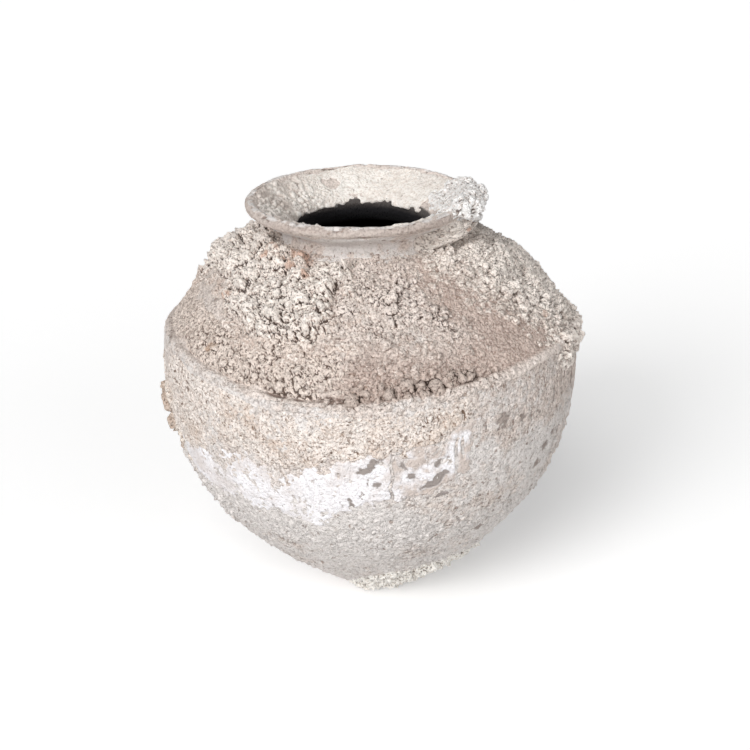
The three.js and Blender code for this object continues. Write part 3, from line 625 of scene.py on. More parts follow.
def sized_strip(bed, left_deg, right_deg, low, high, spacing, near=(0, 1)):
    """A strip on a bed whose cells are about the given spacing either way, and twice as wide outside the near
    shares of its angle, which are out of sight from the front."""
    run = np.linspace(low, high, int((high - low) / spacing) + 2)
    wide = np.radians(np.mean(right_deg) - np.mean(left_deg)) * np.interp(run, bed.run, bed.line[:, 0]).mean()
    place = np.linspace(0, 1, 4000)
    closeness = np.where((place >= near[0]) & (place <= near[1]), 1.0, 0.5)
    closeness = np.concatenate([[0], np.cumsum(closeness[1:])])
    count = int(wide / spacing * closeness[-1] / 3999) + 2
    share = np.interp(np.linspace(0, closeness[-1], count), closeness, place)
    return strip_on(bed, share, left_deg, right_deg, run)


# How deep a deposit lies in the clay where it has run out, and the place of a side that is left open.
SUNK = -1.5
FAR = 999


def cake(name, over, bed, run, angle, marks, material):
    """The closed mesh of a deposit: its upper points, and an underside sunk in the clay at ten of the
    bed's runs."""
    some = np.linspace(0, len(run) - 1, 10).astype(int)
    under = settled(*off_bed(bed, run[some], SUNK - 0.7 + 0 * angle[:, some]), angle[:, some])
    marks = {mark: np.concatenate([v[:, ::-1], v[:, some]], axis=1) for mark, v in marks.items()}
    return skin(name, np.concatenate([over[:, ::-1], under], axis=1), False, marks, material)


def loaf(name, bed, strip, lift, marks, material):
    """A deposit on its bed: the grid, lifted along the normal. Where the lift is below the clay the deposit has run
    out, so its outline and its holes are as ragged as the lift makes them."""
    over = settled(*off_bed(bed, strip.run, np.maximum(lift, SUNK)), strip.angle)
    return cake(name, over, bed, strip.run, strip.angle, marks, material)


def inset(strip, left_deg, right_deg, low, high):
    """How far a place lies inside four sides, in millimetres: the least of the ways to each. The left and right
    sides are given at the lowest and the highest run."""
    left = np.radians(np.interp(strip.run, (strip.run[0], strip.run[-1]), left_deg))
    right = np.radians(np.interp(strip.run, (strip.run[0], strip.run[-1]), right_deg))
    sides = np.minimum((strip.angle - left) * strip.radius, (right - strip.angle) * strip.radius)
    return np.minimum(sides, np.minimum(strip.run - low, high - strip.run))


LINING_FROM = 121
LINING_TO = 425
funnel = bed_on(funnel_line)
lining = sized_strip(funnel, (LINING_FROM - 6, LINING_FROM - 6), (LINING_TO + 4, LINING_TO + 4), 0.3,
                     funnel.run[-1] - 0.3, 0.8)
degrees = (np.degrees(lining.angle) + 180) % 360 - 180
drip = 4.4 * rough(lining.points, 10, 3, 41)
edge = inset(lining, (LINING_FROM - 3, LINING_FROM - 3), (LINING_TO, LINING_TO), 0.8, funnel.run[-1] - 0.9) + drip
leftish = eased(np.abs((degrees + 80 + 180) % 360 - 180), 75, 40)
rng = np.random.default_rng(43)
crumbs, crumb_tint = strewn(lining, 900, (0.9, 2.8), (-0.4, 0.6), rng, depth=0.8)
body = 0.9 + 0.55 * rough(lining.points, 12, 3, 42) + 0.4 * rough(lining.points, 3, 3, 43)
body = body + np.clip(crumbs, 0, 2) * (0.25 + 0.75 * leftish)
worn = np.clip(rough(lining.points, 7, 3, 44) - 0.3, 0, 1) * leftish
lift = SUNK + (body - 3.6 * worn - SUNK) * eased(edge, -1.0, 1.2)
patch_gone = np.hypot(np.radians(degrees + 159) * 70, lining.run - 17) + 3.5 * rough(lining.points, 6, 2, 45)
lift = np.where(patch_gone < 8, SUNK + (lift - SUNK) * eased(patch_gone, 6, 8), lift)
marks = {"hollow": hollowed(body - 3.6 * worn, 2, 7, 1.0), "tint": crumb_tint, "bare": 0 * lift,
         "stain": np.clip(0.35 * leftish + 0.45 * rough(lining.points, 16, 3, 46), 0, 0.8)}
funnel_lime = lime("mouth lime", paint(230, 220, 211), paint(246, 241, 235), paint(160, 147, 138), 0.05)
piece = loaf("mouth_lime", funnel, lining, lift, marks, funnel_lime)
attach(piece, "root")
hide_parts("mouth_lime_lining")


# Left shoulder crust
# A heavy crust of old mortar and lime-bound sand on the left of the shoulder, from the neck half-way down. It set
# in crumbs and clumps with deep gaps between them, and holds bits of broken orange terracotta near the neck.
def crust(name, deep, body, pale, specks=0.06, brick=paint(212, 178, 159)):
    """A mortar finish: sandy, painted shade in the gaps, tips pale with chalk and painted light, brick where marked.
    """
    material, tree, shader, vector = finish(name)
    tint = grit_on(tree, shader, vector, 620.0, 1.0, 1.4)
    broken = mark_of(tree, "brick")
    body = blend(tree, broken, body, brick)
    pale = blend(tree, reckon(tree, "MULTIPLY", broken, 0.8), pale, brick)
    tone = placed(tree, weathered_and_shaded, {"Vector": vector, "Deep": deep, "Body": body, "Pale": pale, "Patches": 1.0,
                                    "Hollow": mark_of(tree, "hollow"), "Tint": tint, "Flecks": 0.6})[0]
    dirt = placed(tree, specked, {"Vector": vector, "Scale": 220.0, "Amount": specks})[0]
    tone = blend(tree, reckon(tree, "MULTIPLY", dirt, 0.5), tone, deep)
    tree.links.new(tone, shader.inputs["Base Color"])
    return material


def mounds(strip, pitch, salt):
    """The mounds that a crust is heaped in, as shares of the pitch, at the same places as on the solid. Each square
    of a grid holds one, half a ball whose place and size are repeatable numbers from the square's own, and the
    creases between them are blurred."""
    x, y = strip.angle * strip.radius / pitch, strip.run / pitch + 0 * strip.angle
    best = np.zeros_like(x)
    for i, j in np.ndindex(3, 3):
        column, row = np.floor(x) + i - 1, np.floor(y) + j - 1
        waves = [np.sin(column * 127.1 + row * 311.7 + (salt + k) * 74.7) * 43758.5453 for k in range(3)]
        across, up, size = [wave - np.floor(wave) for wave in waves]
        size = 0.45 + 0.35 * size
        far = (x - column - 0.2 - 0.6 * across) ** 2 + (y - row - 0.2 - 0.6 * up) ** 2
        best = np.maximum(best, size * np.sqrt(np.clip(1 - far / size**2, 0, 1)))
    return blurred(blurred(best, 5, 0), 5, 1)


def piled(strip, salt, rng, clumps, stones, crumbs):
    """The lumps of a crust: clumps, with stones upon them, and crumbs upon those. Gives heights and tints."""
    crumble = rough(strip.points, 4.5, 3, salt + 400), rough(strip.points, 4.5, 3, salt + 500)
    chipped = rough(strip.points, 1.9, 2, salt + 600), rough(strip.points, 1.9, 2, salt + 700)
    big = np.clip(strewn(strip, *clumps, rng, crumble)[0], 0, 20)
    middling, tint = strewn(strip, *stones, rng, chipped)
    small, small_tint = strewn(strip, *crumbs, rng)
    tint = np.where(small > 0.1, 0.4 * tint + 0.6 * small_tint, tint)
    lumps = big + 0.8 * np.clip(middling, 0, 9) + np.clip(small, 0, 4) + 0.6 * rough(strip.points, 1.7, 2, salt)
    return lumps, tint


def heaped(body, lumps, edge, thin, full):
    """The lift of a crust: sunk outside its edge, the body inside it, and in between single lumps on the clay."""
    share = eased(edge, thin, full)
    strays = (1 - share) * eased(edge, thin - 20, thin) * np.clip(lumps, 0, 5)
    return SUNK + (body - SUNK) * share + strays


def faded(hollow, edge):
    """A crust's hollows, levelled to 0.5 where it thins out into single lumps."""
    return 0.5 + (hollow - 0.5) * eased(edge, -12, 2)


def spots(strip, places, salt):
    """A mask of ragged round spots, each given by its angle in degrees, its run and its size."""
    mask = np.zeros(strip.angle.shape)
    waver = rough(strip.points, 7, 2, salt)
    for angle_deg, run, size in places:
        far = np.hypot((strip.angle - np.radians(angle_deg)) * strip.radius, strip.run - run)
        mask = np.maximum(mask, eased(far + 0.45 * size * waver, size * 1.1, size * 0.6))
    return mask


MOUND_PITCH = 28
MOUND_HEIGHT = 7
shoulder_run = shoulder.run[-1]
neck_bed = bed_on(shoulder_line, fillet_line)
strip = sized_strip(neck_bed, (-162, -162), (9, 9), 20, shoulder_run + 9, 0.61, (0.25, 1))
cloudy = rough(strip.points, 24, 3, 51)
degrees = np.degrees(strip.angle)
low_side = 40 + 20 * eased(np.abs(degrees + 72), 26, 8)
high_side = shoulder_run - 2 + 10 * eased(degrees, -24, -44) + 7 * eased(np.abs(degrees + 7), 15, 7)
edge = np.minimum(inset(strip, (-158, -158), (-9, 0), 0, FAR), strip.run - low_side)
edge = np.minimum(edge, high_side - strip.run)
edge = edge + 9 * cloudy * eased(strip.run, shoulder_run + 9, shoulder_run - 14)
rng = np.random.default_rng(44)
lumps, lump_tint = piled(strip, 53, rng, (560, (2.6, 6.8), (-2.2, 1.0)), (5200, (1.0, 2.7), (-1.0, 0.5)),
                         (20000, (0.6, 1.2), (-0.4, 0.2)))
gaps = eased(np.abs(rough(strip.points, 14, 4, 54)), 0.07, 0.01) * eased(rough(strip.points, 9, 2, 57), -0.1, 0.3)
body = 4.2 + MOUND_HEIGHT * mounds(strip, MOUND_PITCH, 3) + 1.1 * (lumps - lumps.mean()) - 3.0 * gaps
body = body + 1.2 * rough(strip.points, 8, 3, 58)
body = body + 4.5 * eased(strip.run, shoulder_run - 16, shoulder_run - 3) * eased(degrees, -24, -40)
strays = lumps * eased(strip.run - high_side, 4, -2)
lift = np.minimum(heaped(body, strays, edge, -4, 18), 12.5)
brick_bits = [(-58, 57, 4.5), (-55, 60, 3.0), (-51, 112, 8.0), (-40, 116, 9.0), (-45, 104, 8.0), (-33, 110, 7.5),
              (-60, 107, 5.5), (-37, 99, 5.0), (-26, 92, 3.5), (-56, 98, 4.5)]
brick = spots(strip, brick_bits, 55)
brick = brick * eased(rough(strip.points, 6, 3, 56), -0.5, 0.1)
left_crust = crust("grey mortar", paint(70, 54, 46), paint(206, 188, 177), paint(250, 241, 233))
full = eased(edge, -6, 24)
marks = {"hollow": faded(np.minimum(hollowed(body, 1, 5, 0.72), 0.6 + 0.4 * full), edge), "brick": brick,
         "tint": 0.6 * lump_tint + 0.7 * full - 0.2}
piece = loaf("left_crust", neck_bed, strip, lift, marks, left_crust)
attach(piece, "root")
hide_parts("shoulder_crust_left")


# Middle shoulder crust
# The same mortar, thinner, in a tongue from the neck down the front of the shoulder. Single stones stand out of it,
# and a strip of bare clay is left beside it on the right.
def stones_at(strip, stones, lift, oval, tint, depth, crumble):
    """The heights of stones at given places: an angle in degrees, a run and a size for each. The stones are domes,
    each turned by its angle's own number."""
    angle_deg, run, size = stones.T
    same = 0 * size
    return domes(strip, np.radians(angle_deg), run, size, same + lift, angle_deg, same + oval, same + tint, depth,
                 crumble)[0]


strip = sized_strip(neck_bed, (-22, -36), (38, 26), 12, shoulder_run + 12, 0.56)
cloudy = rough(strip.points, 20, 3, 61)
bare_strip = (strip.angle - np.radians(16)) * strip.radius - 0.9 * (104 - strip.run)
edge = np.minimum(inset(strip, (-9, -17), (33, 22), 38, FAR), -bare_strip + 30) + 9 * cloudy
climb = 8 * eased(np.abs(np.degrees(strip.angle) + 4), 13, 6)
edge = np.minimum(edge, shoulder_run + 2 + climb - strip.run + 4 * cloudy)
rng = np.random.default_rng(45)
lumps, lump_tint = piled(strip, 63, rng, (200, (2.2, 5.2), (-2.0, 0.5)), (2000, (0.9, 2.4), (-0.9, 0.4)),
                         (7600, (0.6, 1.2), (-0.4, 0.2)))
stones = np.array([(6.5, 42, 5.2), (26, 62, 4.4), (28, 56, 4.0), (22, 74, 4.6), (15, 84, 4.4), (18, 96, 4.2),
                   (24, 66, 3.6)])
crumble = rough(strip.points, 4.5, 3, 65), rough(strip.points, 4.5, 3, 66)
single = stones_at(strip, stones, -0.4, 0.85, 0.6, 0.8, crumble)
body = 2.2 + 1.0 * cloudy + 1.05 * (lumps - lumps.mean())
lift = heaped(body, lumps, edge, -10, 26)
lift = np.maximum(lift, single + 0.4 * np.clip(lumps, 0, 3))
full = eased(edge, -8, 30)
hollow = np.minimum(hollowed(np.maximum(body, single), 1, 5, 0.52), 0.6 + 0.4 * full)
by_neck = 0.6 * eased(strip.run, shoulder_run - 16, shoulder_run - 3) * eased(climb, 1, 5)
marks = {"hollow": faded(hollow, edge), "brick": 0 * lift, "tint": 0.6 * lump_tint + 0.5 * full - 0.1 + by_neck}
middle_crust = crust("sandy mortar", paint(72, 56, 48), paint(190, 173, 163), paint(238, 226, 218))
piece = loaf("middle_crust", neck_bed, strip, lift, marks, middle_crust)
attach(piece, "root")
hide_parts("shoulder_crust_middle")


# Right shoulder crust
# A thick bed of rounded mortar grains over the right of the shoulder. Its front edge slants from the neck to the
# ridge, where the biggest nodules hang over.
strip = sized_strip(neck_bed, (44, 14), (178, 142), 0.5, shoulder_run + 8, 0.6, (0, 0.65))
degrees = np.degrees(strip.angle)
cloudy = rough(strip.points, 30, 3, 71)
high_side = shoulder_run - 4 + 12 * eased(degrees, 42, 56)
edge = np.minimum(inset(strip, (65, 27), (174, 138), -2, FAR), high_side - strip.run + 14)
edge = edge + 10 * cloudy + 4 * rough(strip.points, 8, 3, 72)
rng = np.random.default_rng(46)
lumps, lump_tint = piled(strip, 73, rng, (800, (2.0, 4.6), (-1.7, 0.3)), (6500, (0.9, 2.3), (-0.8, 0.4)),
                         (22000, (0.5, 1.0), (-0.4, 0.2)))
heavy = spots(strip, [(72, 18, 16), (78, 10, 16), (70, 30, 10)], 74)
thick = eased(edge, -4, 46)
body = 0.8 + thick * (3.2 + MOUND_HEIGHT * mounds(strip, MOUND_PITCH, 8)) + 1.0 * (lumps - lumps.mean())
body = body + 1.1 * heavy * (lumps - 1.5) + 1.0 * rough(strip.points, 8, 3, 78)
stones = np.array([(51, 33, 4.6), (46, 60, 3.4), (49, 42, 3.0)])
crumble = rough(strip.points, 4.5, 3, 76), rough(strip.points, 4.5, 3, 77)
single = stones_at(strip, stones, 0, 0.85, 0.6, 0.8, crumble)
lift = np.clip(np.maximum(heaped(body, lumps, edge, -8, 16), single), SUNK, 11)
hollow = np.minimum(hollowed(body, 2, 6, 1.6), 0.55 + 0.3 * thick)
marks = {"hollow": faded(hollow, edge), "tint": 0.5 * lump_tint + 0.9 * thick - 0.2,
         "brick": 0.6 * spots(strip, [(64, 24, 3), (81, 62, 2.5)], 75)}
right_crust = crust("grained mortar", paint(86, 72, 63), paint(202, 186, 176), paint(245, 236, 228))
piece = loaf("right_crust", neck_bed, strip, lift, marks, right_crust)
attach(piece, "root")
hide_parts("shoulder_crust_right")


# Shoulder mud
# A skin of dried mud on the lower left of the shoulder, wiped in slanting streaks while it was wet. Sand and a
# few stones are set in it.
def mud(name, deep, body, pale, specks):
    """Dried mud: streaky and fine, with brown specks."""
    material, tree, shader, vector = finish(name)
    tint = grit_on(tree, shader, vector, 580.0, 1.2, 1.6)
    tone = placed(tree, weathered_and_shaded, {"Vector": vector, "Deep": deep, "Body": body, "Pale": pale, "Patches": 1.5,
                                    "Hollow": mark_of(tree, "hollow"), "Tint": tint, "Flecks": 0.7})[0]
    dirt = placed(tree, specked, {"Vector": vector, "Scale": 230.0, "Amount": specks})[0]
    tone = blend(tree, reckon(tree, "MULTIPLY", dirt, 0.6), tone, deep)
    tone = blend(tree, mark_of(tree, "stain"), tone, paint(190, 160, 136))
    tree.links.new(tone, shader.inputs["Base Color"])
    return material


strip = sized_strip(shoulder, (-125, -125), (-2, -2), 4.0, 46, 0.7)
cloudy = rough(strip.points, 20, 3, 81)
edge = inset(strip, (-120, -120), (-4, -4), 4.5, 43) + 5 * cloudy * eased(strip.run, 4, 14)
streak = np.stack([150 * np.sin(strip.angle) + strip.run, 150 * np.cos(strip.angle),
                   0.3 * strip.run + 0 * strip.angle], -1)
rng = np.random.default_rng(47)
crumble = rough(strip.points, 3, 2, 85), rough(strip.points, 3, 2, 86)
sand, sand_tint = strewn(strip, 9500, (0.7, 1.5), (-0.6, 0.1), rng, None, 0.75)
stones_up = strewn(strip, 560, (1.2, 3.4), (-1.2, 0.2), rng, crumble, 0.8)[0]
smooth = eased(np.degrees(strip.angle), -50, -64)
body = 0.7 + 0.5 * cloudy + 0.5 * rough(streak, 3.0, 3, 82) + (0.6 - 0.3 * smooth) * np.clip(sand, 0, 2)
body = body + (1 - 0.8 * smooth) * np.clip(stones_up, 0, 4) + 0.5 * rough(strip.points, 2.2, 2, 83)
lift = SUNK + (body - SUNK) * eased(edge, -3, 5)
groove = eased(np.abs(strip.run - 5) + 0 * lift, 4, 1) * eased(np.abs(np.degrees(strip.angle) + 15), 18, 8)
lift = lift - 0.5 * groove
# The groove above the ridge is darkened, as a painted shadow line.
marks = {"hollow": hollowed(body, 1, 5, 0.46) - 0.22 * groove, "tint": sand_tint,
         "stain": 0.6 * spots(strip, [(-51, 17, 4.0), (-49, 20, 2.5)], 84)}
shoulder_mud = mud("streaky mud", paint(88, 71, 62), paint(196, 179, 168), paint(236, 222, 212), 0.14)
piece = loaf("shoulder_mud", shoulder, strip, lift, marks, shoulder_mud)
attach(piece, "root")
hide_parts("shoulder_mud_skin")


# Ridge nodules
# A row of round mortar nodules that lodged on the ridge at the front, set side by side in a little mud.
# They are browner than the crust above them, and hold to the clay by the mud alone.
strip = sized_strip(shoulder, (-9, -9), (31, 31), 0.8, 19, 0.5)
stones = np.array([
    (-4.5, 5.5, 4.6), (-1.0, 9.0, 3.4), (1.6, 4.2, 3.8), (4.6, 8.0, 5.0), (6.2, 3.6, 3.0), (9.2, 4.6, 3.8),
    (9.6, 11.5, 4.3), (13.0, 10.5, 3.4), (13.4, 4.0, 3.6), (16.8, 8.2, 5.4), (17.6, 3.4, 3.6), (20.5, 6.0, 3.2),
    (24.5, 9.5, 3.6), (26.6, 8.0, 4.3), (27.6, 11.6, 3.0), (3.0, 13.5, 2.8), (-6.0, 11.5, 3.0), (21.5, 12.0, 2.6),
])
rng = np.random.default_rng(48)
count = len(stones)
turn, oval, tint = np.pi * rng.random(count), 0.75 + 0.25 * rng.random(count), 0.3 + 0.5 * rng.random(count)
size = (0.75 + 0.5 * rng.random(count)) * stones[:, 2]
crumble = rough(strip.points, 4, 3, 93), rough(strip.points, 4, 3, 94)
nodules, nodule_tint = domes(strip, np.radians(stones[:, 0]), stones[:, 1], size, -0.3 + 0 * turn, turn, oval,
                             tint, 1.15, crumble)
crumbs = strewn(strip, 800, (0.6, 1.6), (-0.5, 0.3), rng, depth=0.8)[0]
edge = inset(strip, (-7, -7), (29, 29), 2.0, 15) + 3.5 * rough(strip.points, 9, 3, 91)
body = np.maximum(0.2 + np.clip(crumbs, 0, 2), 0.9 + 0.35 * np.clip(crumbs, 0, 2) + nodules)
lift = SUNK + (body - SUNK) * np.maximum(eased(edge, -2, 3), eased(nodules, -0.4, 0.4))
lift = lift + 0.35 * rough(strip.points, 1.8, 2, 92)
marks = {"hollow": hollowed(body, 2, 7, 0.8), "tint": nodule_tint, "brick": 0 * lift}
brown_mortar = crust("brown mortar", paint(62, 48, 41), paint(152, 134, 124), paint(206, 190, 180))
piece = loaf("ridge_nodules", shoulder, strip, lift, marks, brown_mortar)
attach(piece, "root")
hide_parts("ledge_grit")


# Ridge overhang
# The lowest nodules of the right crust, caked round the ridge so that they hang over the belly.
# Lime mortar, which set hard where it had run over the edge.
caked_from, caked_to = np.array(off_bed(belly, belly_run - 10, 0)), np.array(off_bed(shoulder, 10, 0))
caked = (1 - t) ** 2 * caked_from + 2 * t * (1 - t) * (bend + [1.2, 0]) + t**2 * caked_to
upper_belly = belly_line[(belly.run > belly_run - 22) & (belly.run < belly_run - 10)]
ridge_bed = bed_on(upper_belly, caked, shoulder_line[shoulder.run > 10])
ridge_run = 22
strip = sized_strip(ridge_bed, (54, 54), (106, 106), 2, ridge_run + 16, 0.6)
cloudy = rough(strip.points, 14, 3, 101)
edge = inset(strip, (63, 63), (98, 98), ridge_run - 10, ridge_run + 13) + 4 * cloudy
rng = np.random.default_rng(49)
lumps, lump_tint = piled(strip, 103, rng, (70, (3.2, 5.6), (-1.2, 0.8)), (420, (1.6, 3.4), (-0.9, 0.4)),
                         (1600, (0.7, 1.4), (-0.4, 0.3)))
body = 1.8 + 0.95 * lumps + 1.0 * cloudy
lift = np.minimum(heaped(body, lumps, edge, -3, 7), 8.5)
marks = {"hollow": hollowed(body, 2, 6, 1.4), "tint": lump_tint, "brick": 0 * lift}
piece = loaf("ridge_overhang", ridge_bed, strip, lift, marks, right_crust)
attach(piece, "root")
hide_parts("ledge_crust_right")


# Rim mortar
# A thick lump of lime mortar wrapped over the lip on the right: built up outside, ragged on top, and thinning out
# down the inside of the funnel.
rim = bed_on(flare_line, lip_line, funnel_line)
flare_run = bed_on(flare_line).run[-1]
over_lip = flare_run + np.pi * LIP_ROUND
built_up = 1.6 + 7.5 * eased(rim.run, over_lip + 4, flare_run) * eased(rim.run, flare_run - 16, flare_run - 2)
bulge = bed_on(rim.line + built_up[:, None] * rim.normal)
ends = np.interp((flare_run - 18, over_lip + 31), rim.run, bulge.run)
strip = sized_strip(bulge, (61, 38), (124, 121), *ends, 0.5)
along = np.interp(strip.run, bulge.run, rim.run)
degrees = np.degrees(strip.angle)
cloudy = rough(strip.points, 14, 3, 111)
edge = np.minimum(along - flare_run + 14, over_lip + 26 - along)
edge = np.minimum(inset(strip, (67, 45), (117, 113), -FAR, FAR), edge)
edge = edge + 4 * cloudy + 4 * rough(strip.points, 6, 3, 114)
rng = np.random.default_rng(50)
lumps, lump_tint = piled(strip, 113, rng, (70, (3.0, 6.6), (-2.0, 1.0)), (600, (1.2, 2.8), (-1.0, 0.3)),
                         (2600, (0.6, 1.3), (-0.4, 0.2)))
outside_share = eased(along, over_lip + 3, flare_run + 1) + 0 * degrees
sink = (np.interp(along, rim.run, built_up) - 1.6) * eased(edge, 15, -1) + (1.6 - SUNK) * eased(edge, 3, -2)
split = np.abs((degrees - 70 - 0.35 * (along - flare_run)) * 1.6 + 2.5 * rough(strip.points, 8, 2, 112))
split = eased(split, 2.2, 0.6) * eased(along, flare_run + 4, flare_run)
lift = np.minimum((0.5 + 0.45 * outside_share) * (lumps - 1.8) + 1.6 * cloudy, 3.2) - sink - 3.0 * split
bits = np.interp((flare_run - 7, flare_run + 2, flare_run + 4), rim.run, bulge.run)
brick = spots(strip, [(78, bits[0], 3.0), (84, bits[1], 2.4), (76, bits[2], 2.0)], 115)
marks = {"hollow": hollowed(lift, 2, 7, 1.0) - 0.3 * split, "tint": lump_tint, "brick": brick}
rim_mortar = crust("lime mortar", paint(112, 98, 90), paint(240, 231, 225), paint(255, 253, 251), 0.04)
over = settled(*off_bed(bulge, strip.run, lift), strip.angle)
piece = cake("rim_mortar", over, rim, along, strip.angle, marks, rim_mortar)
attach(piece, "root")
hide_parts("rim_mortar_lump")


# Neck mortar
# Mortar packed into the hollow of the neck under the lump, so that rim and shoulder crust run into each other.
# It was pressed in wet, and holds by its grip on the neck.
hollow_bed = bed_on(fillet_line, flare_line)
strip = sized_strip(hollow_bed, (22, 29), (124, 122), 0.5, hollow_bed.run[-1] - 2, 0.5)
way = (strip.run - strip.run[0]) / (strip.run[-1] - strip.run[0])
cloudy = rough(strip.points, 14, 3, 121)
edge = inset(strip, (38, 45), (118, 116), -20, 200) + 5 * cloudy
rng = np.random.default_rng(51)
lumps, lump_tint = piled(strip, 123, rng, (110, (2.4, 5.2), (-1.6, 0.4)), (900, (1.3, 2.9), (-0.9, 0.4)),
                         (3400, (0.6, 1.3), (-0.4, 0.2)))
radius, height = off_bed(hollow_bed, strip.run, 0 * strip.angle)
chord_radius = radius[:, :1] + way * (radius[:, -1:] - radius[:, :1]) + 11 * np.sin(np.pi * way)
chord_height = height[:, :1] + way * (height[:, -1:] - height[:, :1])
share = eased(edge, -2, 18)
sink_radius, sink_height = off_bed(hollow_bed, strip.run, SUNK + 0 * strip.angle)
bump = (0.8 * lumps + 0.8 * cloudy) * eased(edge, -3, 5)
radius = sink_radius + (chord_radius - sink_radius) * share + bump * 0.75
height = sink_height + (chord_height - sink_height) * share + bump * 0.3 * np.sin(np.pi * way)
over = settled(radius, height, strip.angle)
# Its tint leans to the pale colour: partly the mortar's own cream, partly painted light where the lip shades it.
marks = {"hollow": hollowed(bump, 2, 7, 1.6), "tint": 0.6 + 0.8 * lump_tint,
         "brick": spots(strip, [(64, 26, 3.0), (72, 31, 2.6)], 125)}
piece = cake("neck_mortar", over, hollow_bed, strip.run, strip.angle, marks, right_crust)
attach(piece, "root")
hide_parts("neck_mortar_fill")


# Belly mud
# A beige, gritty skin of dried mud on the belly, just under the ridge. It was smeared on wet, cracked as
# it dried, and ends below in a ragged edge.
def cracked(strip, below, places):
    """A mask of upright cracks, each given by its angle in degrees and the depths below the ridge where it starts
    and ends. A crack wavers to either side, and thins out at both ends."""
    mask = np.zeros(strip.angle.shape)
    for angle_deg, top, foot in places:
        waver = 1.3 * rough(np.stack([0 * below, 0 * below + angle_deg * 10, below], -1), 9, 3, 145)
        far = np.abs((strip.angle - np.radians(angle_deg)) * strip.radius + waver)
        far = far + 1.2 * eased(below, top + 6, top) + 1.2 * eased(below, foot - 10, foot)
        mask = np.maximum(mask, eased(far, 1.6, 0.6))
    return mask


MUD_FOOT = ((-80, -58, -45, -38, -32, -25, -18, -10, -6.5, 4, 14, 25),
            (62, 66, 56, 48, 45, 53, 46, 39, 34, 37, 30, 22))
strip = sized_strip(belly, (-98, -98), (30, 30), belly_run - 70, belly_run - 1.5, 0.75)
below = belly_run - strip.run + 0 * strip.angle
degrees = np.degrees(strip.angle)
cloudy = rough(strip.points, 22, 3, 131)
mud_foot = np.interp(degrees, *MUD_FOOT)
left_end = 26 * rough(strip.points, 26, 3, 138) * eased(degrees, -55, -75)
edge = np.minimum(inset(strip, (-80, -80), (25, 25), 0, belly_run - 2.5) + left_end, mud_foot - below)
edge = edge + (4 * cloudy + 5 * rough(strip.points, 7, 4, 137)) * eased(below, 3, 12)
rng = np.random.default_rng(52)
sand, sand_tint = strewn(strip, 9000, (0.6, 1.4), (-0.6, 0.1), rng, None, 0.75)
crumble = rough(strip.points, 3, 2, 135), rough(strip.points, 3, 2, 136)
stones_up = strewn(strip, 320, (1.2, 2.6), (-1.2, 0.0), rng, crumble, 0.8)[0]
body = 0.55 + 0.4 * cloudy + 0.4 * np.clip(sand, 0, 2) + np.clip(stones_up, 0, 3)
body = body + 0.4 * rough(strip.points, 3.5, 3, 132)
pocked = np.clip(rough(strip.points, 4, 2, 133) - 0.4, 0, 1)
clods = [(-17.8, 35, 2.6), (-16.4, 37, 1.8), (-12.5, 22, 2.0), (-6, 51, 2.4), (-40, 39, 2.6), (-20, 6, 2.0),
         (-9, 47, 1.8), (-28, 30, 1.8)]
clod = spots(strip, [(angle_deg, belly_run - down, size) for angle_deg, down, size in clods], 139)
body = np.minimum(body - 2.6 * pocked, 1.9) + 1.3 * clod
lift = SUNK + (body - SUNK) * eased(edge, -2.5, 3)
crack = cracked(strip, below, [(13.6, 5, 18), (22.8, 8, 44), (21.4, 24, 60), (4.6, 28, 60)])
lift = lift - 0.9 * crack
marks = {"hollow": hollowed(body, 1, 5, 0.42) - 0.8 * crack - 0.45 * clod,
         "tint": 0.2 + 0.6 * sand_tint + 0.3 * cloudy,
         "stain": np.clip(0.03 + 0.35 * rough(strip.points, 14, 3, 134), 0, 0.3)}
belly_mud = mud("beige mud", paint(112, 90, 74), paint(220, 205, 195), paint(244, 235, 228), 0.14)
piece = loaf("belly_mud", belly, strip, lift, marks, belly_mud)
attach(piece, "root")
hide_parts("belly_mud_skin")


# Belly lime wash
# A patch of white lime wash on the front of the belly, scratched and cracked. Flakes of it have come off, and the
# smooth grey clay shows there.
WASH_FOOT = ((-64, -52, -40, -29, -21, -12, -7.5, 2, 12, 25), (92, 99, 97, 94, 102, 102, 88, 73, 74, 62))
strip = sized_strip(belly, (-70, -70), (29, 29), belly_run - 116, belly_run - 20, 0.7)
below = belly_run - strip.run + 0 * strip.angle
degrees = np.degrees(strip.angle)
cloudy = rough(strip.points, 20, 3, 141)
top_side = np.interp(degrees, *MUD_FOOT) + 2
edge = np.minimum(below - top_side, np.interp(degrees, *WASH_FOOT) - below)
edge = np.minimum(edge, inset(strip, (-64, -64), (25, 25), 0, FAR))
edge = edge + 6 * cloudy + 7 * rough(strip.points, 6, 4, 149)
body = 0.5 + 0.35 * rough(strip.points, 24, 2, 142) + 0.35 * rough(strip.points, 3, 3, 143)
lift = SUNK + (body - SUNK) * eased(edge, -3, 3)


def flake_gone(strip, below, waver, from_deg, from_below, to_deg, to_below, width):
    """How far outside a missing flake a place lies: its distance from a line between two places, less the width,
    and a waver that makes the flake's outline broken."""
    x, y = strip.angle * LEDGE_RADIUS, below
    ax, bx = np.radians(from_deg) * LEDGE_RADIUS, np.radians(to_deg) * LEDGE_RADIUS
    way = np.clip(((x - ax) * (bx - ax) + (y - from_below) * (to_below - from_below))
                  / ((bx - ax) ** 2 + (to_below - from_below) ** 2), 0, 1)
    far = np.hypot(x - ax - way * (bx - ax), y - from_below - way * (to_below - from_below))
    return far - width * (0.4 + 3.6 * way * (1 - way)) + waver


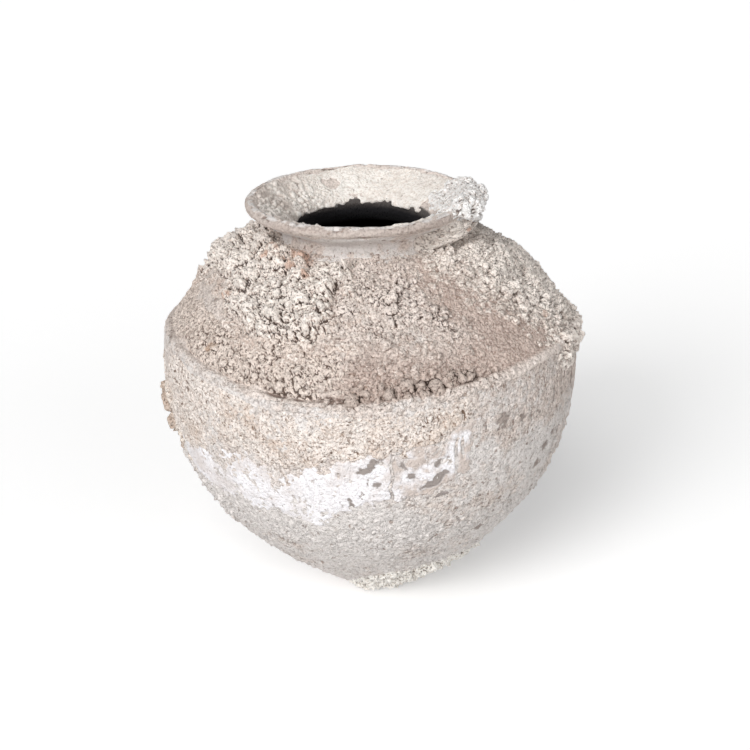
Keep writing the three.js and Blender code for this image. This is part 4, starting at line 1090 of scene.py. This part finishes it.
gone = np.full(lift.shape, 9.0)
waver = 3.0 * rough(strip.points, 5, 4, 144)
for flake in [(-3.8, 49, 3.2, 35, 2.0), (12.0, 67, 19.5, 54, 2.6), (16.0, 47, 18.4, 43, 1.8),
              (7.0, 41, 8.6, 48, 1.5), (-6.8, 70, -5.6, 81, 0.8), (13.5, 78, 20.5, 74, 0.7),
              (1.0, 60, 2.0, 62, 0.8), (9.0, 52, 10.0, 55, 0.8)]:
    gone = np.minimum(gone, flake_gone(strip, below, waver, *flake))
bare = eased(gone, 0.5, -0.3)
lift = lift + (0.1 - lift) * bare
crack = cracked(strip, below, [(4.6, 30, 86), (13.6, 30, 50), (21.4, 28, 80), (22.8, 28, 50)])
scratch = np.full(lift.shape, 9.0)
for line in [(-28.5, 66, -26.2, 73, 0), (-17.5, 67, -13.8, 91, 0), (-12.2, 60, -9.2, 66, 0),
             (-10.5, 55, -8.0, 64, 0), (-19.8, 84, -17, 99, 0), (-24, 62, -21, 76, 0),
             (-14.5, 58, -12, 72, 0), (-33, 70, -30, 80, 0), (-12, 80, -10.5, 90, 0)]:
    scratch = np.minimum(scratch, flake_gone(strip, below, waver, *line) * 0.75 + 0.25)
scratch = eased(scratch, 0.7, 0.1) * eased(rough(strip.points, 5, 2, 147), -0.6, 0.0)
pocked = np.clip(rough(strip.points, 4, 2, 146) - 0.45, 0, 1) * eased(rough(strip.points, 18, 2, 150), -0.1, 0.3)
lift = lift - 0.9 * crack - 0.5 * scratch - 2.0 * pocked
hollow = hollowed(body - 2.0 * pocked, 2, 7, 0.5) - 0.6 * crack - 0.35 * scratch
mottled = eased(degrees, -3, 12) * (0.6 + 1.1 * rough(strip.points, 8, 4, 156))
stain = np.clip(0.1 + 0.5 * rough(strip.points, 22, 3, 148) + mottled, 0, 0.9) * (1 - bare)
marks = {"hollow": hollow, "tint": 0.5 + 0.3 * cloudy, "bare": np.maximum(bare, 0.8 * crack), "stain": stain}
wash = lime("lime wash", paint(234, 230, 231), paint(246, 244, 247), paint(156, 148, 144), 0.05)
piece = loaf("belly_lime", belly, strip, lift, marks, wash)
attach(piece, "root")
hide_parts("belly_lime_wash")


# Belly lumps
# Big brown lumps of earth and mortar stuck to the left side of the belly, with smaller grains round them.
# They dried on where the jar lay against wet earth.
strip = sized_strip(belly, (-126, -126), (-56, -56), belly_run - 108, belly_run - 32, 0.7)
cloudy = rough(strip.points, 24, 3, 151)
edge = inset(strip, (-119, -119), (-66, -66), belly_run - 96, belly_run - 42) + 8 * cloudy
rng = np.random.default_rng(53)
lumps, lump_tint = piled(strip, 153, rng, (120, (3.0, 7.0), (-2.6, 0.0)), (900, (1.5, 3.4), (-1.1, 0.3)),
                         (3600, (0.7, 1.5), (-0.4, 0.3)))
stones = np.array([(-82, 48, 7.0), (-77, 53, 7.5), (-74, 61, 5.0), (-84, 62, 8.0), (-79, 72, 7.5),
                   (-73, 68, 4.0), (-85, 80, 5.0), (-72, 86, 3.6), (-78, 91, 3.6), (-97, 57, 7.5),
                   (-101, 66, 5.0), (-92, 88, 4.0), (-68, 75, 3.0)])
crumble = 1.7 * rough(strip.points, 7, 3, 154), 1.7 * rough(strip.points, 7, 3, 155)
stones[:, 1] = belly_run - stones[:, 1]
single = stones_at(strip, stones, -0.2, 0.8, 0.4, 0.85, crumble)
body = 0.4 + 0.8 * cloudy + 0.35 * (lumps - 1.5)
lift = np.maximum(heaped(body, lumps, edge, -4, 8), single + 0.5 * np.clip(lumps, 0, 4) - 0.4)
lift = np.minimum(lift, 6.4)
brown = eased(single, 0.0, 2.2) * (0.35 + 0.5 * lump_tint)
marks = {"hollow": hollowed(lift, 3, 9, 1.3), "tint": lump_tint, "brick": brown}
brown_crust = crust("brown earth mortar", paint(66, 50, 40), paint(208, 190, 176), paint(240, 229, 219), 0.12,
                    paint(158, 126, 102))
piece = loaf("belly_lumps", belly, strip, lift, marks, brown_crust)
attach(piece, "root")
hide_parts("belly_crust_left")


# Foot crust
# Knobbly cream-coloured crust round the right front of the foot, like popcorn. Lime and
# sand, which set hard round each grain while the jar stood in the wet.
strip = sized_strip(belly, (-34, 8), (88, 130), 5.0, 98, 0.62)
cloudy = rough(strip.points, 20, 3, 161)
edge = inset(strip, (-22, 22), (76, 118), 8, 88) + 7 * cloudy
rng = np.random.default_rng(54)
lumps, lump_tint = piled(strip, 163, rng, (300, (2.8, 5.4), (-1.4, 0.8)), (1500, (1.3, 2.8), (-0.9, 0.4)),
                         (4200, (0.6, 1.3), (-0.4, 0.2)))
body = 0.6 + 0.8 * cloudy + 0.95 * lumps
lift = np.minimum(np.minimum(heaped(body, lumps, edge, -4, 6), 7.5), 0.55 * strip.run)
marks = {"hollow": hollowed(lift, 1, 5, 0.5), "tint": lump_tint,
         "brick": 0.3 * spots(strip, [(20, 30, 3), (48, 34, 3)], 164)}
foot_crust = crust("cream crust", paint(88, 72, 60), paint(232, 222, 210), paint(255, 251, 245), 0.08)
piece = loaf("foot_crust_knobs", belly, strip, lift, marks, foot_crust)
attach(piece, "root")
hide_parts("foot_crust")


# Floor and light
# A white studio table: the floor takes the jar's soft shadow and otherwise shows as white. A soft lamp stands low in
# front on the left, a wide one above it, and a low one on the right fills the shade.
def seen_rays(tree):
    """1 where the stage itself is seen, straight or in a mirror or through glass, and 0 where it gives light."""
    path = wire(tree, "ShaderNodeLightPath", {}).outputs
    seen = reckon(tree, "MAXIMUM", path["Is Camera Ray"], path["Is Glossy Ray"])
    return reckon(tree, "MAXIMUM", seen, path["Is Transmission Ray"])


floor_mesh = bpy.data.meshes.new("floor")
floor_mesh.from_pydata([(-9, -9, 0), (9, -9, 0), (9, 9, 0), (-9, 9, 0)], [], [(0, 1, 2, 3)])
floor = bpy.data.objects.new("floor", floor_mesh)
bpy.context.scene.collection.objects.link(floor)
floor_white = bpy.data.materials.new("white table")
floor_white.use_nodes = True
tree = floor_white.node_tree
tree.nodes.clear()
matt = wire(tree, "ShaderNodeBsdfDiffuse", {"Color": (0.92, 0.92, 0.92, 1)})
glow = wire(tree, "ShaderNodeEmission", {"Strength": reckon(tree, "MULTIPLY", seen_rays(tree), 0.305)})
both = wire(tree, "ShaderNodeAddShader", {0: matt.outputs[0], 1: glow.outputs[0]})
wire(tree, "ShaderNodeOutputMaterial", {"Surface": both.outputs[0]})
floor_mesh.materials.append(floor_white)

world = bpy.data.worlds.new("white room")
bpy.context.scene.world = world
world.use_nodes = True
tree = world.node_tree
tree.nodes.clear()
level = wire(tree, "ShaderNodeMapRange", {"Value": seen_rays(tree), "To Min": 0.18, "To Max": 1.0}).outputs[0]
room = wire(tree, "ShaderNodeBackground", {"Color": (1, 1, 1, 1), "Strength": level})
wire(tree, "ShaderNodeOutputWorld", {"Surface": room.outputs[0]})


def lamp(name, size_deg, energy, location):
    """A lamp as large as its angle says, which shines from the location to the jar's foot."""
    light = bpy.data.lights.new(name, "SUN")
    light.angle = np.radians(size_deg)
    light.energy = energy
    stand = bpy.data.objects.new(name, light)
    stand.location = location
    stand.rotation_euler = (-Vector(location)).to_track_quat("-Z", "Y").to_euler()
    bpy.context.scene.collection.objects.link(stand)


lamp("soft lamp", 30, 1.68, (-1.15, -1.4, 0.88))
lamp("wide lamp", 32, 1.2, (-0.5, -1.3, 1.5))
lamp("low fill", 60, 1.42, (1.15, -1.35, 0.2))

# Camera: a metre away, looking down on the jar a little, turned by just over a degree.
camera_data = bpy.data.cameras.new("camera")
camera_data.sensor_width = 36
camera_data.lens = 59.52
camera = bpy.data.objects.new("camera", camera_data)
eye, aim = Vector((0.00326, -0.9081, 0.5977)), Vector((0.00326, 0, 0.179))
back = (eye - aim).normalized()
right = Vector((0, 0, 1)).cross(back).normalized()
up = back.cross(right)
roll = np.radians(1.38)
across, upward = right * np.cos(roll) - up * np.sin(roll), right * np.sin(roll) + up * np.cos(roll)
turned = Matrix((across, upward, back)).transposed().to_4x4()
camera.matrix_world = Matrix.Translation(eye) @ turned
bpy.context.scene.collection.objects.link(camera)
bpy.context.scene.camera = camera
bpy.context.scene.view_settings.view_transform = "Standard"
